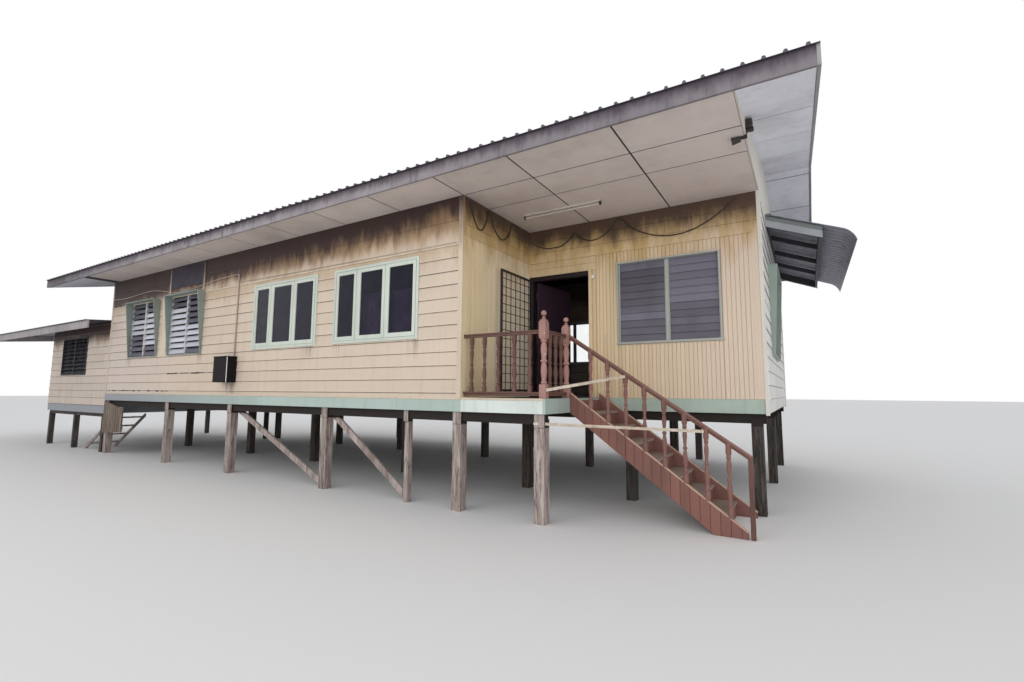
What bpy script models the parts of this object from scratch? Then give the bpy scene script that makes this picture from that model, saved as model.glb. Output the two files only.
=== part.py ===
# Raised timber house: boarded walls on posts, recessed corner porch and stair, ribbed gable roof, side annexe
# X runs along the long wall, Y into the house, Z up. Sizes start at the porch corner of that wall, at the ground
# The finished house is moved so that the centre of the corner post's foot is the origin

import math

import bmesh
import bpy
from mathutils import Matrix, Vector

for old in list(bpy.data.objects):
    bpy.data.objects.remove(old, do_unlink=True)

# Clearances
seat = 0.0003
run_gap = 0.006

# House plan and heights
long_wall = 11.29
porch_length = 3.585
recess = 1.907
house_depth = 7.4
wall = 0.12
floor_top = 1.51
band_height = 0.19
band_board = 0.03
floor_boards = 0.035
ceiling = 4.36
ply = 0.012
deck_length = 1.286

# Roof
roof_slope = 0.215
eave = 0.74
verge_right = 0.675
verge_left = 2.265
eave_under = 4.52
fascia_board = 0.03
fascia_height = 0.19
verge_drop = 0.165
sheet = 0.003
rib_pitch = 0.168
rib_height = 0.024
rib_width = 0.044
drip = 0.03
cap_width = 0.2

# Posts and beams under the floor
post_width = 0.14
prop_width = 0.08
post_shares = (0, 0.275, 0.5, 0.753, 1)
post_inset = 0.08
bearer_width = 0.09
bearer_depth = 0.13
brace_thickness = 0.035
brace_width = 0.1
brace_foot = 0.06
prop_share = 0.34
joist_width = 0.05
joist_count = 12
row_fraction = 0.52

# Steps and slatted panel at the left end, under the floor
side_steps_reach = 1.75
side_steps_width = 0.7
side_steps_top = 0.96
side_step_count = 4
side_board = 0.035
side_tread = 0.14
slat_panel_width = 1.05
slat_panel_top = 1.3
slat_panel_foot = 0.5
slat_lean = 0.2
slat_count = 9
slat_gap = 0.018
slat_thickness = 0.018
slat_rail = 0.05

# Openings: left edge along the wall, width, sill and head
window_sill = 2.35
window_head = 3.59
casement_width = 1.86
casement_left = (-4.95, -2.65)
louvre_width = 1.43
louvre_left = (-10.14, -8.2)
louvre_head = 3.69
porch_window_left = 1.58
porch_window_width = 1.49
porch_window_sill = 2.32
back_windows = (-9.2, -5.6, -2.2)
blade_count = 9
blade_depth = 0.15
blade_thickness = 0.006
blade_tilt = math.radians(56)
frame_width = 0.055
frame_depth = 0.07
glass = 0.006
box_board = 0.02
louvre_top_reach = 0.17
louvre_foot_reach = 0.03
porch_top_reach = 0.09

# Door and grille
jamb = 0.07
door_width = 1.01
door_head = 3.48
door_thickness = 0.04
door_open = math.radians(82)
gate_open = math.radians(-90)
gate_bar = 0.014
gate_frame = 0.03
gate_columns = 7
gate_rows = 14
gate_lift = 0.09
threshold = 0.02
hinge_radius = 0.008
hinge_offset = 0.009
hinge_plate = 0.03
hinge_bite = 0.003
knuckle_height = 0.05
knob_size = 0.036
knob_height = 0.95
knob_inset = 0.07

# Balustrade and stair
rail_width = 0.06
rail_height = 0.05
rail_top = 2.37
low_rail_top = 1.59
newel = 0.095
newel_rise = 0.14
newel_ball = 0.045
baluster_radius = 0.0255
baluster_sides = 10
stair_near = 0.72
stair_width = 1.12
stair_run = 2.12
riser_count = 8
tread_board = 0.03
stringer_board = 0.035
stringer_lift = 0.07
stringer_foot = 0.35
handrail_end = 0.89
foot_post = 0.07
front_balusters = 5
side_balusters = 3
stair_balusters = 8

# Awning and window box on the end wall
awning_start = 3.08
awning_length = 4.1
awning_reach = 1.0
awning_wall_top = 4.36
awning_drop = 0.4
awning_board = 0.24
awning_nose = 0.2
awning_overlap = 0.06
awning_lift = 0.043
awning_purlin = 0.045
box_start = 3.12
box_width = 1.6
box_reach = 0.14
box_sill = 2.17
box_head = 3.6

# Annexe
annexe_length = 3.95
annexe_depth = 4.6
annexe_floor_top = 1.18
annexe_wall_top = 3.36
annexe_eave = 0.5
annexe_roof_reach = 3.6
annexe_slope = 0.08
annexe_beam_y = 0.9
annexe_beam_depth = 0.12
annexe_beam_width = 0.06
annexe_strut = 0.05
annexe_strut_reach = 3.1
annexe_strut_foot = 2.12
annexe_band = 0.2
annexe_fascia = 0.19
annexe_window_left = -14.42
annexe_window_width = 1.75
annexe_window_sill = 1.975
annexe_window_head = 3.03

# Fittings
meter_left = -5.9
meter_width = 0.48
meter_depth = 0.21
meter_height = 0.49
meter_sill = 1.74
conduit_radius = 0.014
conduit_height = 3.9
cable_radius = 0.008
batten_thickness = 0.02
light_left = 0.35
light_length = 1.27
light_width = 0.09
light_height = 0.07
light_y = 1.07
cable_top = 4.31
lamp_size = 0.1
lamp_y = 0.2
batten_width = 0.035
batten_rise = 0.19
low_batten_left = 0.76
low_batten_right = 2.96
low_batten_height = 1.15

house_left = -long_wall
ridge_y = house_depth / 2
ridge_under = eave_under + roof_slope * (ridge_y + eave)
slope_angle = math.atan(roof_slope)
band_bottom = floor_top - band_height
inner_edge = band_board + seat
door_left = jamb + run_gap
opening_right = door_left + door_width + run_gap
frame_right = opening_right + jamb
deck_inner = deck_length - inner_edge
attic_lap = 0.1
row_y = band_board + post_width / 2
post_run = long_wall - 2 * post_inset
row_places = [house_left + post_inset + post_run * share for share in post_shares]

build = bpy.data.collections.new("stilt_house")
helpers = bpy.data.collections.new("cutters")
bpy.context.scene.collection.children.link(build)
bpy.context.scene.collection.children.link(helpers)
helpers.hide_render = True


def paint(name, color, roughness=0.7, metallic=0.0):
    made = bpy.data.materials.new(name)
    made.use_nodes = True
    shader = made.node_tree.nodes["Principled BSDF"]
    shader.inputs["Base Color"].default_value = (*color, 1)
    shader.inputs["Roughness"].default_value = roughness
    shader.inputs["Metallic"].default_value = metallic
    return made


cream = paint("cream_boards", (0.65, 0.54, 0.41))
porch_cream = paint("porch_boards", (0.6, 0.5, 0.28))
white = paint("white_boards", (0.75, 0.75, 0.72))
mint = paint("mint_paint", (0.5, 0.6, 0.54))
dull_green = paint("dull_green_paint", (0.14, 0.2, 0.17))
weathered = paint("weathered_timber", (0.2, 0.17, 0.14), 0.9)
floor_wood = paint("floor_boards", (0.25, 0.18, 0.12), 0.8)
roof_metal = paint("roof_sheet", (0.1, 0.1, 0.11), 0.5, 0.6)
fascia_paint = paint("fascia_paint", (0.45, 0.43, 0.42))
soffit_paint = paint("soffit_panel", (0.4, 0.34, 0.3))
stair_red = paint("stair_red_paint", (0.3, 0.14, 0.12))
door_brown = paint("door_brown", (0.05, 0.015, 0.02), 0.5)
iron = paint("black_iron", (0.02, 0.02, 0.02), 0.5, 0.8)
frame_green = paint("window_frame_green", (0.4, 0.48, 0.4))
pale_wood = paint("pale_batten", (0.7, 0.66, 0.58))
plastic = paint("dark_plastic", (0.04, 0.03, 0.025), 0.5)
white_plastic = paint("white_plastic", (0.85, 0.86, 0.84), 0.4)


def keep(obj, material):
    """Puts a finished piece in the house's collection with its material."""
    for owner in list(obj.users_collection):
        owner.objects.unlink(obj)
    build.objects.link(obj)
    obj.data.materials.clear()
    obj.data.materials.append(material)
    return obj


def helper(obj):
    """Puts a cutter, or a shape that is fused into another, out of the render."""
    for owner in list(obj.users_collection):
        owner.objects.unlink(obj)
    helpers.objects.link(obj)
    obj.hide_render = True
    obj.display_type = "WIRE"
    return obj


def new_mesh(name, shape):
    bmesh.ops.recalc_face_normals(shape, faces=shape.faces)
    mesh = bpy.data.meshes.new(name)
    shape.to_mesh(mesh)
    shape.free()
    obj = bpy.data.objects.new(name, mesh)
    bpy.context.scene.collection.objects.link(obj)
    return obj


def block(name, low, high):
    """A box between two corners."""
    low, high = Vector(low), Vector(high)
    shape = bmesh.new()
    bmesh.ops.create_cube(shape, size=1)
    bmesh.ops.scale(shape, vec=high - low, verts=shape.verts)
    obj = new_mesh(name, shape)
    obj.location = (low + high) / 2
    return obj


def bar(name, start, end, width, depth, side=(0, 1, 0)):
    """A rectangular bar between two points, its width along side."""
    start, end = Vector(start), Vector(end)
    along = (end - start).normalized()
    across = Vector(side).normalized()
    up = along.cross(across).normalized()
    shape = bmesh.new()
    bmesh.ops.create_cube(shape, size=1)
    bmesh.ops.scale(shape, vec=(width, depth, (end - start).length), verts=shape.verts)
    obj = new_mesh(name, shape)
    turn = Matrix((across, -up, along)).transposed().to_4x4()
    obj.matrix_world = Matrix.Translation((start + end) / 2) @ turn
    return obj


def pin(name, x, y, bottom, top, radius):
    """An upright round bar."""
    shape = bmesh.new()
    bmesh.ops.create_cone(
        shape, cap_ends=True, segments=10, radius1=radius, radius2=radius, depth=top - bottom
    )
    obj = new_mesh(name, shape)
    obj.location = (x, y, (bottom + top) / 2)
    return obj


def flat(name, outline, thickness, frame):
    """A flat outline drawn in the frame's own XY plane and made solid along its Z, centred."""
    curve = bpy.data.curves.new(name, "CURVE")
    curve.dimensions = "2D"
    curve.fill_mode = "BOTH"
    curve.extrude = thickness / 2
    line = curve.splines.new("POLY")
    line.points.add(len(outline) - 1)
    for point, (across, up) in zip(line.points, outline):
        point.co = (across, up, 0, 1)
    line.use_cyclic_u = True
    drawn = bpy.data.objects.new(name, curve)
    bpy.context.scene.collection.objects.link(drawn)
    bpy.context.view_layer.update()
    mesh = bpy.data.meshes.new_from_object(drawn)
    bpy.data.objects.remove(drawn)
    shape = bmesh.new()
    shape.from_mesh(mesh)
    bmesh.ops.remove_doubles(shape, verts=shape.verts, dist=0.00001)
    for side in (1, -1):
        cap = [face for face in shape.faces if all(corner.co.z * side > 0 for corner in face.verts)]
        bmesh.ops.dissolve_faces(shape, faces=cap)
    obj = new_mesh(name, shape)
    obj.matrix_world = frame
    return obj


def in_yz(x):
    """A frame whose outline is given as (y, z) and whose thickness runs along X."""
    return Matrix(((0, 0, 1, x), (1, 0, 0, 0), (0, 1, 0, 0), (0, 0, 0, 1)))


def in_xz(y):
    """A frame whose outline is given as (x, z) and whose thickness runs along Y."""
    return Matrix(((1, 0, 0, 0), (0, 0, -1, y), (0, 1, 0, 0), (0, 0, 0, 1)))


def in_xy(z):
    """A frame whose outline is given as (x, y) and whose thickness runs along Z."""
    return Matrix.Translation((0, 0, z))


def combine(target, others, operation):
    group = bpy.data.collections.new(target.name + "_" + operation.lower())
    helpers.children.link(group)
    group.hide_render = True
    for other in others:
        helper(other)
        helpers.objects.unlink(other)
        group.objects.link(other)
    step = target.modifiers.new(operation.title(), "BOOLEAN")
    step.operation = operation
    step.solver = "EXACT"
    step.operand_type = "COLLECTION"
    step.collection = group
    return target


def fuse(target, others):
    return combine(target, others, "UNION")


def cut(target, others):
    return combine(target, others, "DIFFERENCE")


def roof_under(y):
    """Height of the roof sheet's underside at a place across the house."""
    return ridge_under - roof_slope * abs(y - ridge_y)


def gable_line(drop, start, end):
    """Points that follow the roof's underside at a drop below it, from start to end across the house."""
    return [(start, roof_under(start) - drop), (ridge_y, ridge_under - drop), (end, roof_under(end) - drop)]


baluster_profile = (
    (1.0, 0.0), (1.0, 0.2), (0.6, 0.23), (0.95, 0.28), (0.55, 0.33), (0.95, 0.55),
    (0.55, 0.72), (0.9, 0.76), (0.6, 0.8), (1.0, 0.84), (1.0, 1.0),
)  # radius and height as shares of the baluster's own


def turned(name, x, y, bottom, top, radius):
    """A turned baluster: a profile spun about a vertical axis."""
    height = top - bottom
    shape = bmesh.new()
    rings = [shape.verts.new((radius * wide, 0, height * up)) for wide, up in baluster_profile]
    foot = shape.verts.new((0, 0, 0))
    head = shape.verts.new((0, 0, height))
    line = [foot, *rings, head]
    edges = [shape.edges.new(pair) for pair in zip(line, line[1:])]
    bmesh.ops.spin(
        shape, geom=line + edges, cent=(0, 0, 0), axis=(0, 0, 1), angle=2 * math.pi,
        steps=baluster_sides, use_merge=True,
    )
    bmesh.ops.remove_doubles(shape, verts=shape.verts, dist=0.00001)
    obj = new_mesh(name, shape)
    obj.location = (x, y, bottom)
    return obj


def make_floor():
    edge_y = recess + inner_edge
    outline = [
        (house_left + inner_edge, inner_edge), (-seat, inner_edge), (-seat, edge_y),
        (porch_length - inner_edge, edge_y), (porch_length - inner_edge, house_depth - inner_edge),
        (house_left + inner_edge, house_depth - inner_edge),
    ]
    boards = flat("main_floor", outline, floor_boards, in_xy(floor_top - floor_boards / 2))
    joists = []
    first = house_left + inner_edge + joist_width
    last = porch_length - inner_edge - joist_width
    for index in range(joist_count):
        x = first + (last - first) * index / (joist_count - 1)
        front = edge_y if x + joist_width > 0 else inner_edge
        low = (x - joist_width / 2, front, band_bottom + seat)
        high = (x + joist_width / 2, house_depth - inner_edge, floor_top - floor_boards / 2)
        joists.append(block("joist", low, high))
    keep(fuse(boards, joists), floor_wood)

    deck_back = edge_y - seat
    low = (seat, inner_edge, floor_top - floor_boards)
    deck = block("porch_deck", low, (deck_inner, deck_back, floor_top))
    joists = []
    for x in (joist_width, deck_inner / 2, deck_inner - joist_width):
        low = (x - joist_width / 2, inner_edge, band_bottom + seat)
        joists.append(block("joist", low, (x + joist_width / 2, deck_back, floor_top - floor_boards / 2)))
    keep(fuse(deck, joists), floor_wood)


def make_bands():
    """Painted boards around the floor's edge: one run along the road side, one round the other three."""
    top = floor_top
    front = block("band_front", (house_left, 0, band_bottom), (deck_length, band_board, top))
    low = (deck_length - band_board, 0, band_bottom)
    deck_end = block("end", low, (deck_length, recess + band_board, top))
    low = (deck_length - band_board, recess, band_bottom)
    porch = block("porch", low, (porch_length, recess + band_board, top))
    keep(fuse(front, [deck_end, porch]), mint)
    low = (porch_length - band_board, recess + inner_edge, band_bottom)
    right = block("band_rear", low, (porch_length, house_depth, top))
    low = (house_left, house_depth - band_board, band_bottom)
    back = block("back", low, (porch_length, house_depth, top))
    low = (house_left, inner_edge, band_bottom)
    left = block("left", low, (house_left + band_board, house_depth, top))
    keep(fuse(right, [back, left]), mint)


def upright(name, x, y, bottom, top, width):
    """A square timber post centred on a place."""
    half = width / 2
    return block(name, (x - half, y - half, bottom), (x + half, y + half, top))


def make_post_row(name, y, right_end, extra_posts, braces):
    """A bearer on its posts, with any thinner props and diagonal braces in the same row."""
    top = band_bottom - seat
    low = (house_left + band_board, y - bearer_width / 2, top - bearer_depth)
    bearer = block(name, low, (right_end, y + bearer_width / 2, top))
    post_top = top - bearer_depth / 2
    parts = [upright("post", x, y, 0, post_top, post_width) for x in row_places]
    parts += [upright("post", x, y, 0, post_top, width) for x, width in extra_posts]
    side = y + post_width / 2
    for start, end in braces:
        high = (start, side, post_top)
        parts.append(bar("brace", high, (end, side, brace_foot), brace_thickness, brace_width))
    return keep(fuse(bearer, parts), weathered)


def make_posts():
    prop = row_places[-1] - prop_share * (row_places[-1] - row_places[-2])
    braces = [(row_places[2], row_places[3] - post_width), (row_places[3], prop - prop_width)]
    deck_post = deck_inner - post_width / 2
    extra = [(prop, prop_width), (deck_post, post_width)]
    make_post_row("post_row_front", row_y, deck_inner, extra, braces)
    right_post = porch_length - post_inset - post_width / 2
    second = recess + row_y
    last = house_depth - row_y
    rows = [second, second + (last - second) * row_fraction, last]
    extra = [(right_post / 2, post_width), (right_post, post_width)]
    for name, y in zip(("post_row_porch", "post_row_middle", "post_row_back"), rows):
        make_post_row(name, y, porch_length - inner_edge, extra, [])


def make_side_steps():
    """Short open steps against the back of the corner post, and a slatted panel nailed to its front."""
    near = row_y + post_width / 2 + seat
    far = near + side_steps_width
    head_x = row_places[0] + post_width / 2
    foot_x = head_x - side_steps_reach
    slope = side_steps_top / side_steps_reach
    outline = [
        (foot_x, seat), (foot_x + side_tread, seat), (head_x, side_steps_top - side_tread * slope),
        (head_x, side_steps_top),
    ]
    first = flat("side_steps", outline, side_board, in_xz(near + side_board / 2))
    parts = [flat("stringer", outline, side_board, in_xz(far - side_board / 2))]
    for index in range(side_step_count):
        x = foot_x + side_steps_reach * (index + 0.75) / side_step_count
        z = slope * (x - foot_x) - side_board
        low = (x - side_tread, near + side_board / 2, z - side_board / 2)
        parts.append(block("tread", low, (x, far - side_board / 2, z + side_board / 2)))
    keep(fuse(first, parts), weathered)

    width = (slat_panel_width - slat_gap * (slat_count - 1)) / slat_count
    back = row_y - post_width / 2 - seat - slat_rail / 2
    left = house_left + run_gap
    right = left + slat_panel_width
    rails = []
    for share in (0.2, 0.8):
        z = slat_panel_foot + (slat_panel_top - slat_panel_foot) * share
        low = (left, back, z - slat_rail / 2)
        rails.append(block("rail", low, (right, back + slat_rail / 2, z + slat_rail / 2)))
    parts = rails[1:]
    for index in range(slat_count):
        x = left + index * (width + slat_gap)
        drop = slat_lean * index / slat_count
        low = (x, back - slat_thickness, slat_panel_foot + drop / 3)
        parts.append(block("slat", low, (x + width, back + slat_rail / 4, slat_panel_top - drop)))
    panel = rails[0]
    panel.name = "slatted_panel"
    keep(fuse(panel, parts), weathered)


def window_cutter(x, width, sill, head, y, depth=wall):
    low = (x, y - depth, sill)
    return block("opening", low, (x + width, y + 2 * depth, head))


def make_walls():
    base = floor_top + seat
    top = roof_under(0) - seat
    low = (house_left + wall + seat, 0, base)
    front = block("front_wall", low, (0, wall, top))
    openings = [window_cutter(x, casement_width, window_sill, window_head, 0) for x in casement_left]
    openings += [window_cutter(x, louvre_width, window_sill, louvre_head, 0) for x in louvre_left]
    keep(cut(front, openings), cream)

    lap = ceiling + attic_lap
    low = (-wall, wall + seat, base)
    keep(block("porch_return_wall", low, (0, recess + wall, lap)), porch_cream)
    low = (seat, recess, door_head + jamb + seat)
    keep(block("wall_over_door", low, (frame_right, recess + wall, lap)), porch_cream)
    low = (frame_right + seat, recess, base)
    high = (porch_length - wall - seat, recess + wall, lap)
    porch = block("porch_wall", low, high)
    left, width = porch_window_left, porch_window_width
    opening = window_cutter(left, width, porch_window_sill, window_head, recess)
    keep(cut(porch, [opening]), porch_cream)

    overhang = eave - fascia_board - seat
    soffit_top = ceiling + ply + seat
    crown = gable_line(seat, -overhang, house_depth + overhang)
    outline = [
        (-overhang, soffit_top), (recess, soffit_top), (recess, base), (house_depth, base),
        (house_depth, soffit_top), (house_depth + overhang, soffit_top), *reversed(crown),
    ]
    right = flat("right_end_wall", outline, wall, in_yz(porch_length - wall / 2))
    low = (porch_length - 2 * wall, box_start, box_sill)
    opening = block("opening", low, (porch_length + wall, box_start + box_width, box_head))
    keep(cut(right, [opening]), white)

    outline = [
        (-overhang, soffit_top), (0, soffit_top), (0, base), (house_depth, base),
        (house_depth, soffit_top), (house_depth + overhang, soffit_top), *reversed(crown),
    ]
    keep(flat("left_end_wall", outline, wall, in_yz(house_left + wall / 2)), cream)

    low = (house_left + wall + seat, house_depth - wall, base)
    high = (porch_length - wall - seat, house_depth, top)
    back = block("back_wall", low, high)
    openings = []
    for x in back_windows:
        openings.append(window_cutter(x, casement_width, window_sill, window_head, house_depth - wall))
    keep(cut(back, openings), cream)


def ribbed_outline(length):
    """The cross-section of a ribbed sheet: flat pans between narrow raised ribs, on a flat underside."""
    count = int(length / rib_pitch)
    margin = (length - (count - 1) * rib_pitch) / 2
    outline = [(-length / 2, 0), (-length / 2, sheet)]
    for index in range(count):
        x = -length / 2 + margin + index * rib_pitch
        crest = sheet + rib_height
        outline += [(x - rib_width / 2, sheet), (x - rib_width / 4, crest)]
        outline += [(x + rib_width / 4, crest), (x + rib_width / 2, sheet)]
    return outline + [(length / 2, sheet), (length / 2, 0)]


def slope_sheet(name, left, right, low_y, high_y, under, slope):
    """A ribbed sheet whose ribs run down the slope from high_y to low_y; under is its underside at high_y."""
    run = abs(high_y - low_y)
    length = run * math.hypot(1, slope)
    down = Vector((0, math.copysign(1, low_y - high_y), -slope)).normalized()
    across = Vector((1, 0, 0)) if down.y < 0 else Vector((-1, 0, 0))
    normal = down.cross(across)
    middle = Vector(((left + right) / 2, (low_y + high_y) / 2, under - slope * run / 2))
    frame = Matrix.Translation(middle) @ Matrix((across, normal, down)).transposed().to_4x4()
    return flat(name, ribbed_outline(right - left), length, frame)


def make_roof():
    left, right = house_left - verge_left, porch_length + verge_right
    under = ridge_under + roof_slope * -seat
    front = slope_sheet("roof_front", left, right, -eave - drip, ridge_y - 0.002, under, roof_slope)
    keep(front, roof_metal)
    far_edge = house_depth + eave + drip
    back = slope_sheet("roof_back", left, right, far_edge, ridge_y + 0.002, under, roof_slope)
    keep(back, roof_metal)

    rise = sheet + rib_height + 0.002
    edge = cap_width
    outline = [
        (ridge_y - edge, ridge_under - roof_slope * edge + rise), (ridge_y, ridge_under + rise),
        (ridge_y + edge, ridge_under - roof_slope * edge + rise),
        (ridge_y + edge, ridge_under - roof_slope * edge + rise + sheet), (ridge_y, ridge_under + rise + sheet),
        (ridge_y - edge, ridge_under - roof_slope * edge + rise + sheet),
    ]
    keep(flat("ridge_cap", outline, right - left, in_yz((left + right) / 2)), roof_metal)

    ends = (-eave, house_depth + eave)
    half = fascia_board / 2
    for name, x in (("barge_board_right", right - half), ("barge_board_left", left + half)):
        crown = gable_line(seat, *ends)
        foot = gable_line(fascia_height, *ends)
        keep(flat(name, foot + crown[::-1], fascia_board, in_yz(x)), fascia_paint)
    inner = fascia_board + seat
    for name, y in (("fascia_front", -eave), ("fascia_back", house_depth + eave - fascia_board)):
        low = (left + inner, y, eave_under - fascia_height)
        keep(block(name, low, (right - inner, y + fascia_board, eave_under - seat)), fascia_paint)

    start = -eave + fascia_board + seat
    outline = [
        (house_left, start), (porch_length, start), (porch_length, recess - seat),
        (seat, recess - seat), (seat, -seat), (house_left, -seat),
    ]
    keep(flat("soffit_front", outline, ply, in_xy(ceiling + ply / 2)), soffit_paint)
    low = (house_left, house_depth + seat, ceiling)
    keep(block("soffit_back", low, (porch_length, house_depth - start, ceiling + ply)), soffit_paint)

    span = (start, house_depth - start)
    lower = gable_line(verge_drop, *span)
    upper = gable_line(verge_drop - ply, *span)
    width = verge_right - fascia_board - 2 * seat
    middle = porch_length + seat + width / 2
    keep(flat("verge_soffit_right", lower + upper[::-1], width, in_yz(middle)), fascia_paint)
    width = verge_left - fascia_board - 2 * seat
    middle = house_left - seat - width / 2
    keep(flat("verge_soffit_left", lower + upper[::-1], width, in_yz(middle)), fascia_paint)


def window_bars(x, width, sill, head, y, depth, lights):
    """A window's outer frame and the posts between its lights, as blocks that overlap at the corners."""
    edge = frame_width
    parts = [
        block("post", (x, y, sill), (x + edge, y + depth, head)),
        block("post", (x + width - edge, y, sill), (x + width, y + depth, head)),
        block("rail", (x, y, sill), (x + width, y + depth, sill + edge)),
    ]
    for index in range(1, lights):
        middle = x + width * index / lights
        parts.append(block("post", (middle - edge / 2, y, sill), (middle + edge / 2, y + depth, head)))
    return block("rail", (x, y, head - edge), (x + width, y + depth, head)), parts


def casement(name, x, y, facing=1, width=casement_width):
    """Three sashes in one frame, closed by thin panes."""
    low_y = y - frame_depth / 4 if facing > 0 else y + wall - frame_depth * 0.75
    head, parts = window_bars(
        x + seat, width - 2 * seat, window_sill + seat, window_head - seat, low_y, frame_depth, 3
    )
    head.name = name
    pane_y = low_y + frame_depth / 2
    low = (x + frame_width / 2, pane_y, window_sill + frame_width / 2)
    high = (x + width - frame_width / 2, pane_y + glass, window_head - frame_width / 2)
    parts.append(block("pane", low, high))
    return keep(fuse(head, parts), frame_green)


def blades(x, width, low, high, y):
    """A column of tilted glass blades, each with its outer edge lower than its inner one."""
    made = []
    for index in range(blade_count):
        blade = block("blade", (0, 0, 0), (width, blade_depth, blade_thickness))
        blade.rotation_euler = (blade_tilt, 0, 0)
        blade.location = (x + width / 2, y, low + (high - low) * (index + 0.5) / blade_count)
        made.append(blade)
    return made


def splayed_box(x, width, sill, head, face, top_reach):
    """Side boards, head and sill that carry a window out from the wall, further at the top."""
    back = face + frame_depth / 2
    outline = [
        (back, sill), (face - louvre_foot_reach, sill), (face - top_reach, head), (back, head),
    ]
    parts = []
    for middle in (x + box_board / 2, x + width - box_board / 2):
        parts.append(flat("side", outline, box_board, in_yz(middle)))
    parts.append(block("hood", (x, face - top_reach, head - box_board), (x + width, back, head)))
    parts.append(block("sill", (x, face - louvre_foot_reach, sill), (x + width, back, sill + box_board)))
    return parts


def louvre(name, x, face, width, sill, head, top_reach):
    """Two bays of tilted blades in a box that stands out from the wall."""
    x, width = x + seat, width - 2 * seat
    sill, head = sill + seat, head - seat
    top, parts = window_bars(x, width, sill, head, face, frame_depth, 2)
    top.name = name
    if top_reach:
        parts += splayed_box(x, width, sill, head, face, top_reach)
    edge = frame_width / 2
    parts += blades(x + edge, width - frame_width, sill + edge, head - edge, face + frame_depth / 2)
    return keep(fuse(top, parts), dull_green)


def make_windows():
    for number, x in enumerate(casement_left, 1):
        casement(f"casement_window_{number}", x, 0)
    for number, x in enumerate(louvre_left, 1):
        name = f"louvre_window_{number}"
        louvre(name, x, 0, louvre_width, window_sill, louvre_head, louvre_top_reach)
    places = (porch_window_left, recess, porch_window_width, porch_window_sill, window_head)
    louvre("porch_window", *places, porch_top_reach)
    for number, x in enumerate(back_windows, 1):
        casement(f"back_window_{number}", x, house_depth - wall, facing=-1)


def place_on_hinge(obj, hinge, angle, centre=(0, 0, 0)):
    """Turns a piece of a leaf about its hinge line and leaves its origin on that line."""
    obj.data.transform(Matrix.Translation(centre))
    obj.matrix_world = Matrix.Translation(hinge) @ Matrix.Rotation(angle, 4, "Z")
    return obj


def leaf_block(name, low, high, hinge, angle):
    """A box given beside its hinge line as if the leaf were shut, then turned open."""
    low, high = Vector(low), Vector(high)
    piece = block(name, low, high)
    piece.location = (0, 0, 0)
    return place_on_hinge(piece, hinge, angle, (low + high) / 2)


def hinge_halves(hinge, angle, heights, side, jamb_y):
    """Knuckles on one pin line: the lower of each pair is on the jamb, the upper on the leaf."""
    fixed, moving = [], []
    back = side * (hinge_offset + hinge_bite)
    for z in heights:
        low = pin("knuckle", hinge.x, hinge.y, z - knuckle_height, z, hinge_radius)
        high = pin("knuckle", 0, 0, 0, knuckle_height, hinge_radius)
        high.location = (0, 0, 0)
        centre = (0, 0, z + seat + knuckle_height / 2)
        moving.append(place_on_hinge(high, hinge, angle, centre))
        leaf_low = (0, min(side * hinge_radius / 2, back), z + seat)
        leaf_high = (hinge_plate, max(side * hinge_radius / 2, back), z + seat + knuckle_height)
        moving.append(leaf_block("plate", leaf_low, leaf_high, hinge, angle))
        ends = sorted((hinge.y, jamb_y))
        plate_low = (hinge.x - hinge_plate, ends[0], z - knuckle_height)
        fixed += [low, block("plate", plate_low, (hinge.x, ends[1], z))]
    return fixed, moving


def make_door():
    y0, y1 = recess, recess + wall
    base = floor_top + seat
    head = block("door_frame", (seat, y0, door_head), (frame_right, y1, door_head + jamb))
    parts = [
        block("jamb", (seat, y0, base), (jamb, y1, door_head + jamb / 2)),
        block("jamb", (opening_right, y0, base), (frame_right, y1, door_head + jamb / 2)),
        block("sill", (seat, y0, base), (frame_right, y1, base + threshold)),
    ]
    pin_x = jamb + run_gap / 2
    door_pin = Vector((pin_x, y1 + hinge_offset, 0))
    gate_pin = Vector((pin_x, y0 - run_gap - gate_frame - hinge_offset, 0))

    bottom = base + threshold + run_gap
    top = door_head - run_gap
    low = (run_gap / 2, -hinge_offset - door_thickness, bottom)
    high = (run_gap / 2 + door_width, -hinge_offset, top)
    leaf = leaf_block("front_door", low, high, door_pin, door_open)
    heights = [bottom + (top - bottom) * share for share in (0.12, 0.5, 0.88)]
    fixed, moving = hinge_halves(door_pin, door_open, heights, -1, y1 - hinge_bite)
    right = run_gap / 2 + door_width - knob_inset
    base_z = bottom + knob_height
    low = (right - knob_size, -hinge_offset - door_thickness - knob_size, base_z)
    high = (right, -hinge_offset + knob_size, base_z + knob_size)
    moving.append(leaf_block("knob", low, high, door_pin, door_open))
    keep(fuse(leaf, moving), door_brown)
    parts += fixed

    fixed = make_gate(gate_pin)
    keep(fuse(head, parts + fixed), stair_red)


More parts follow.
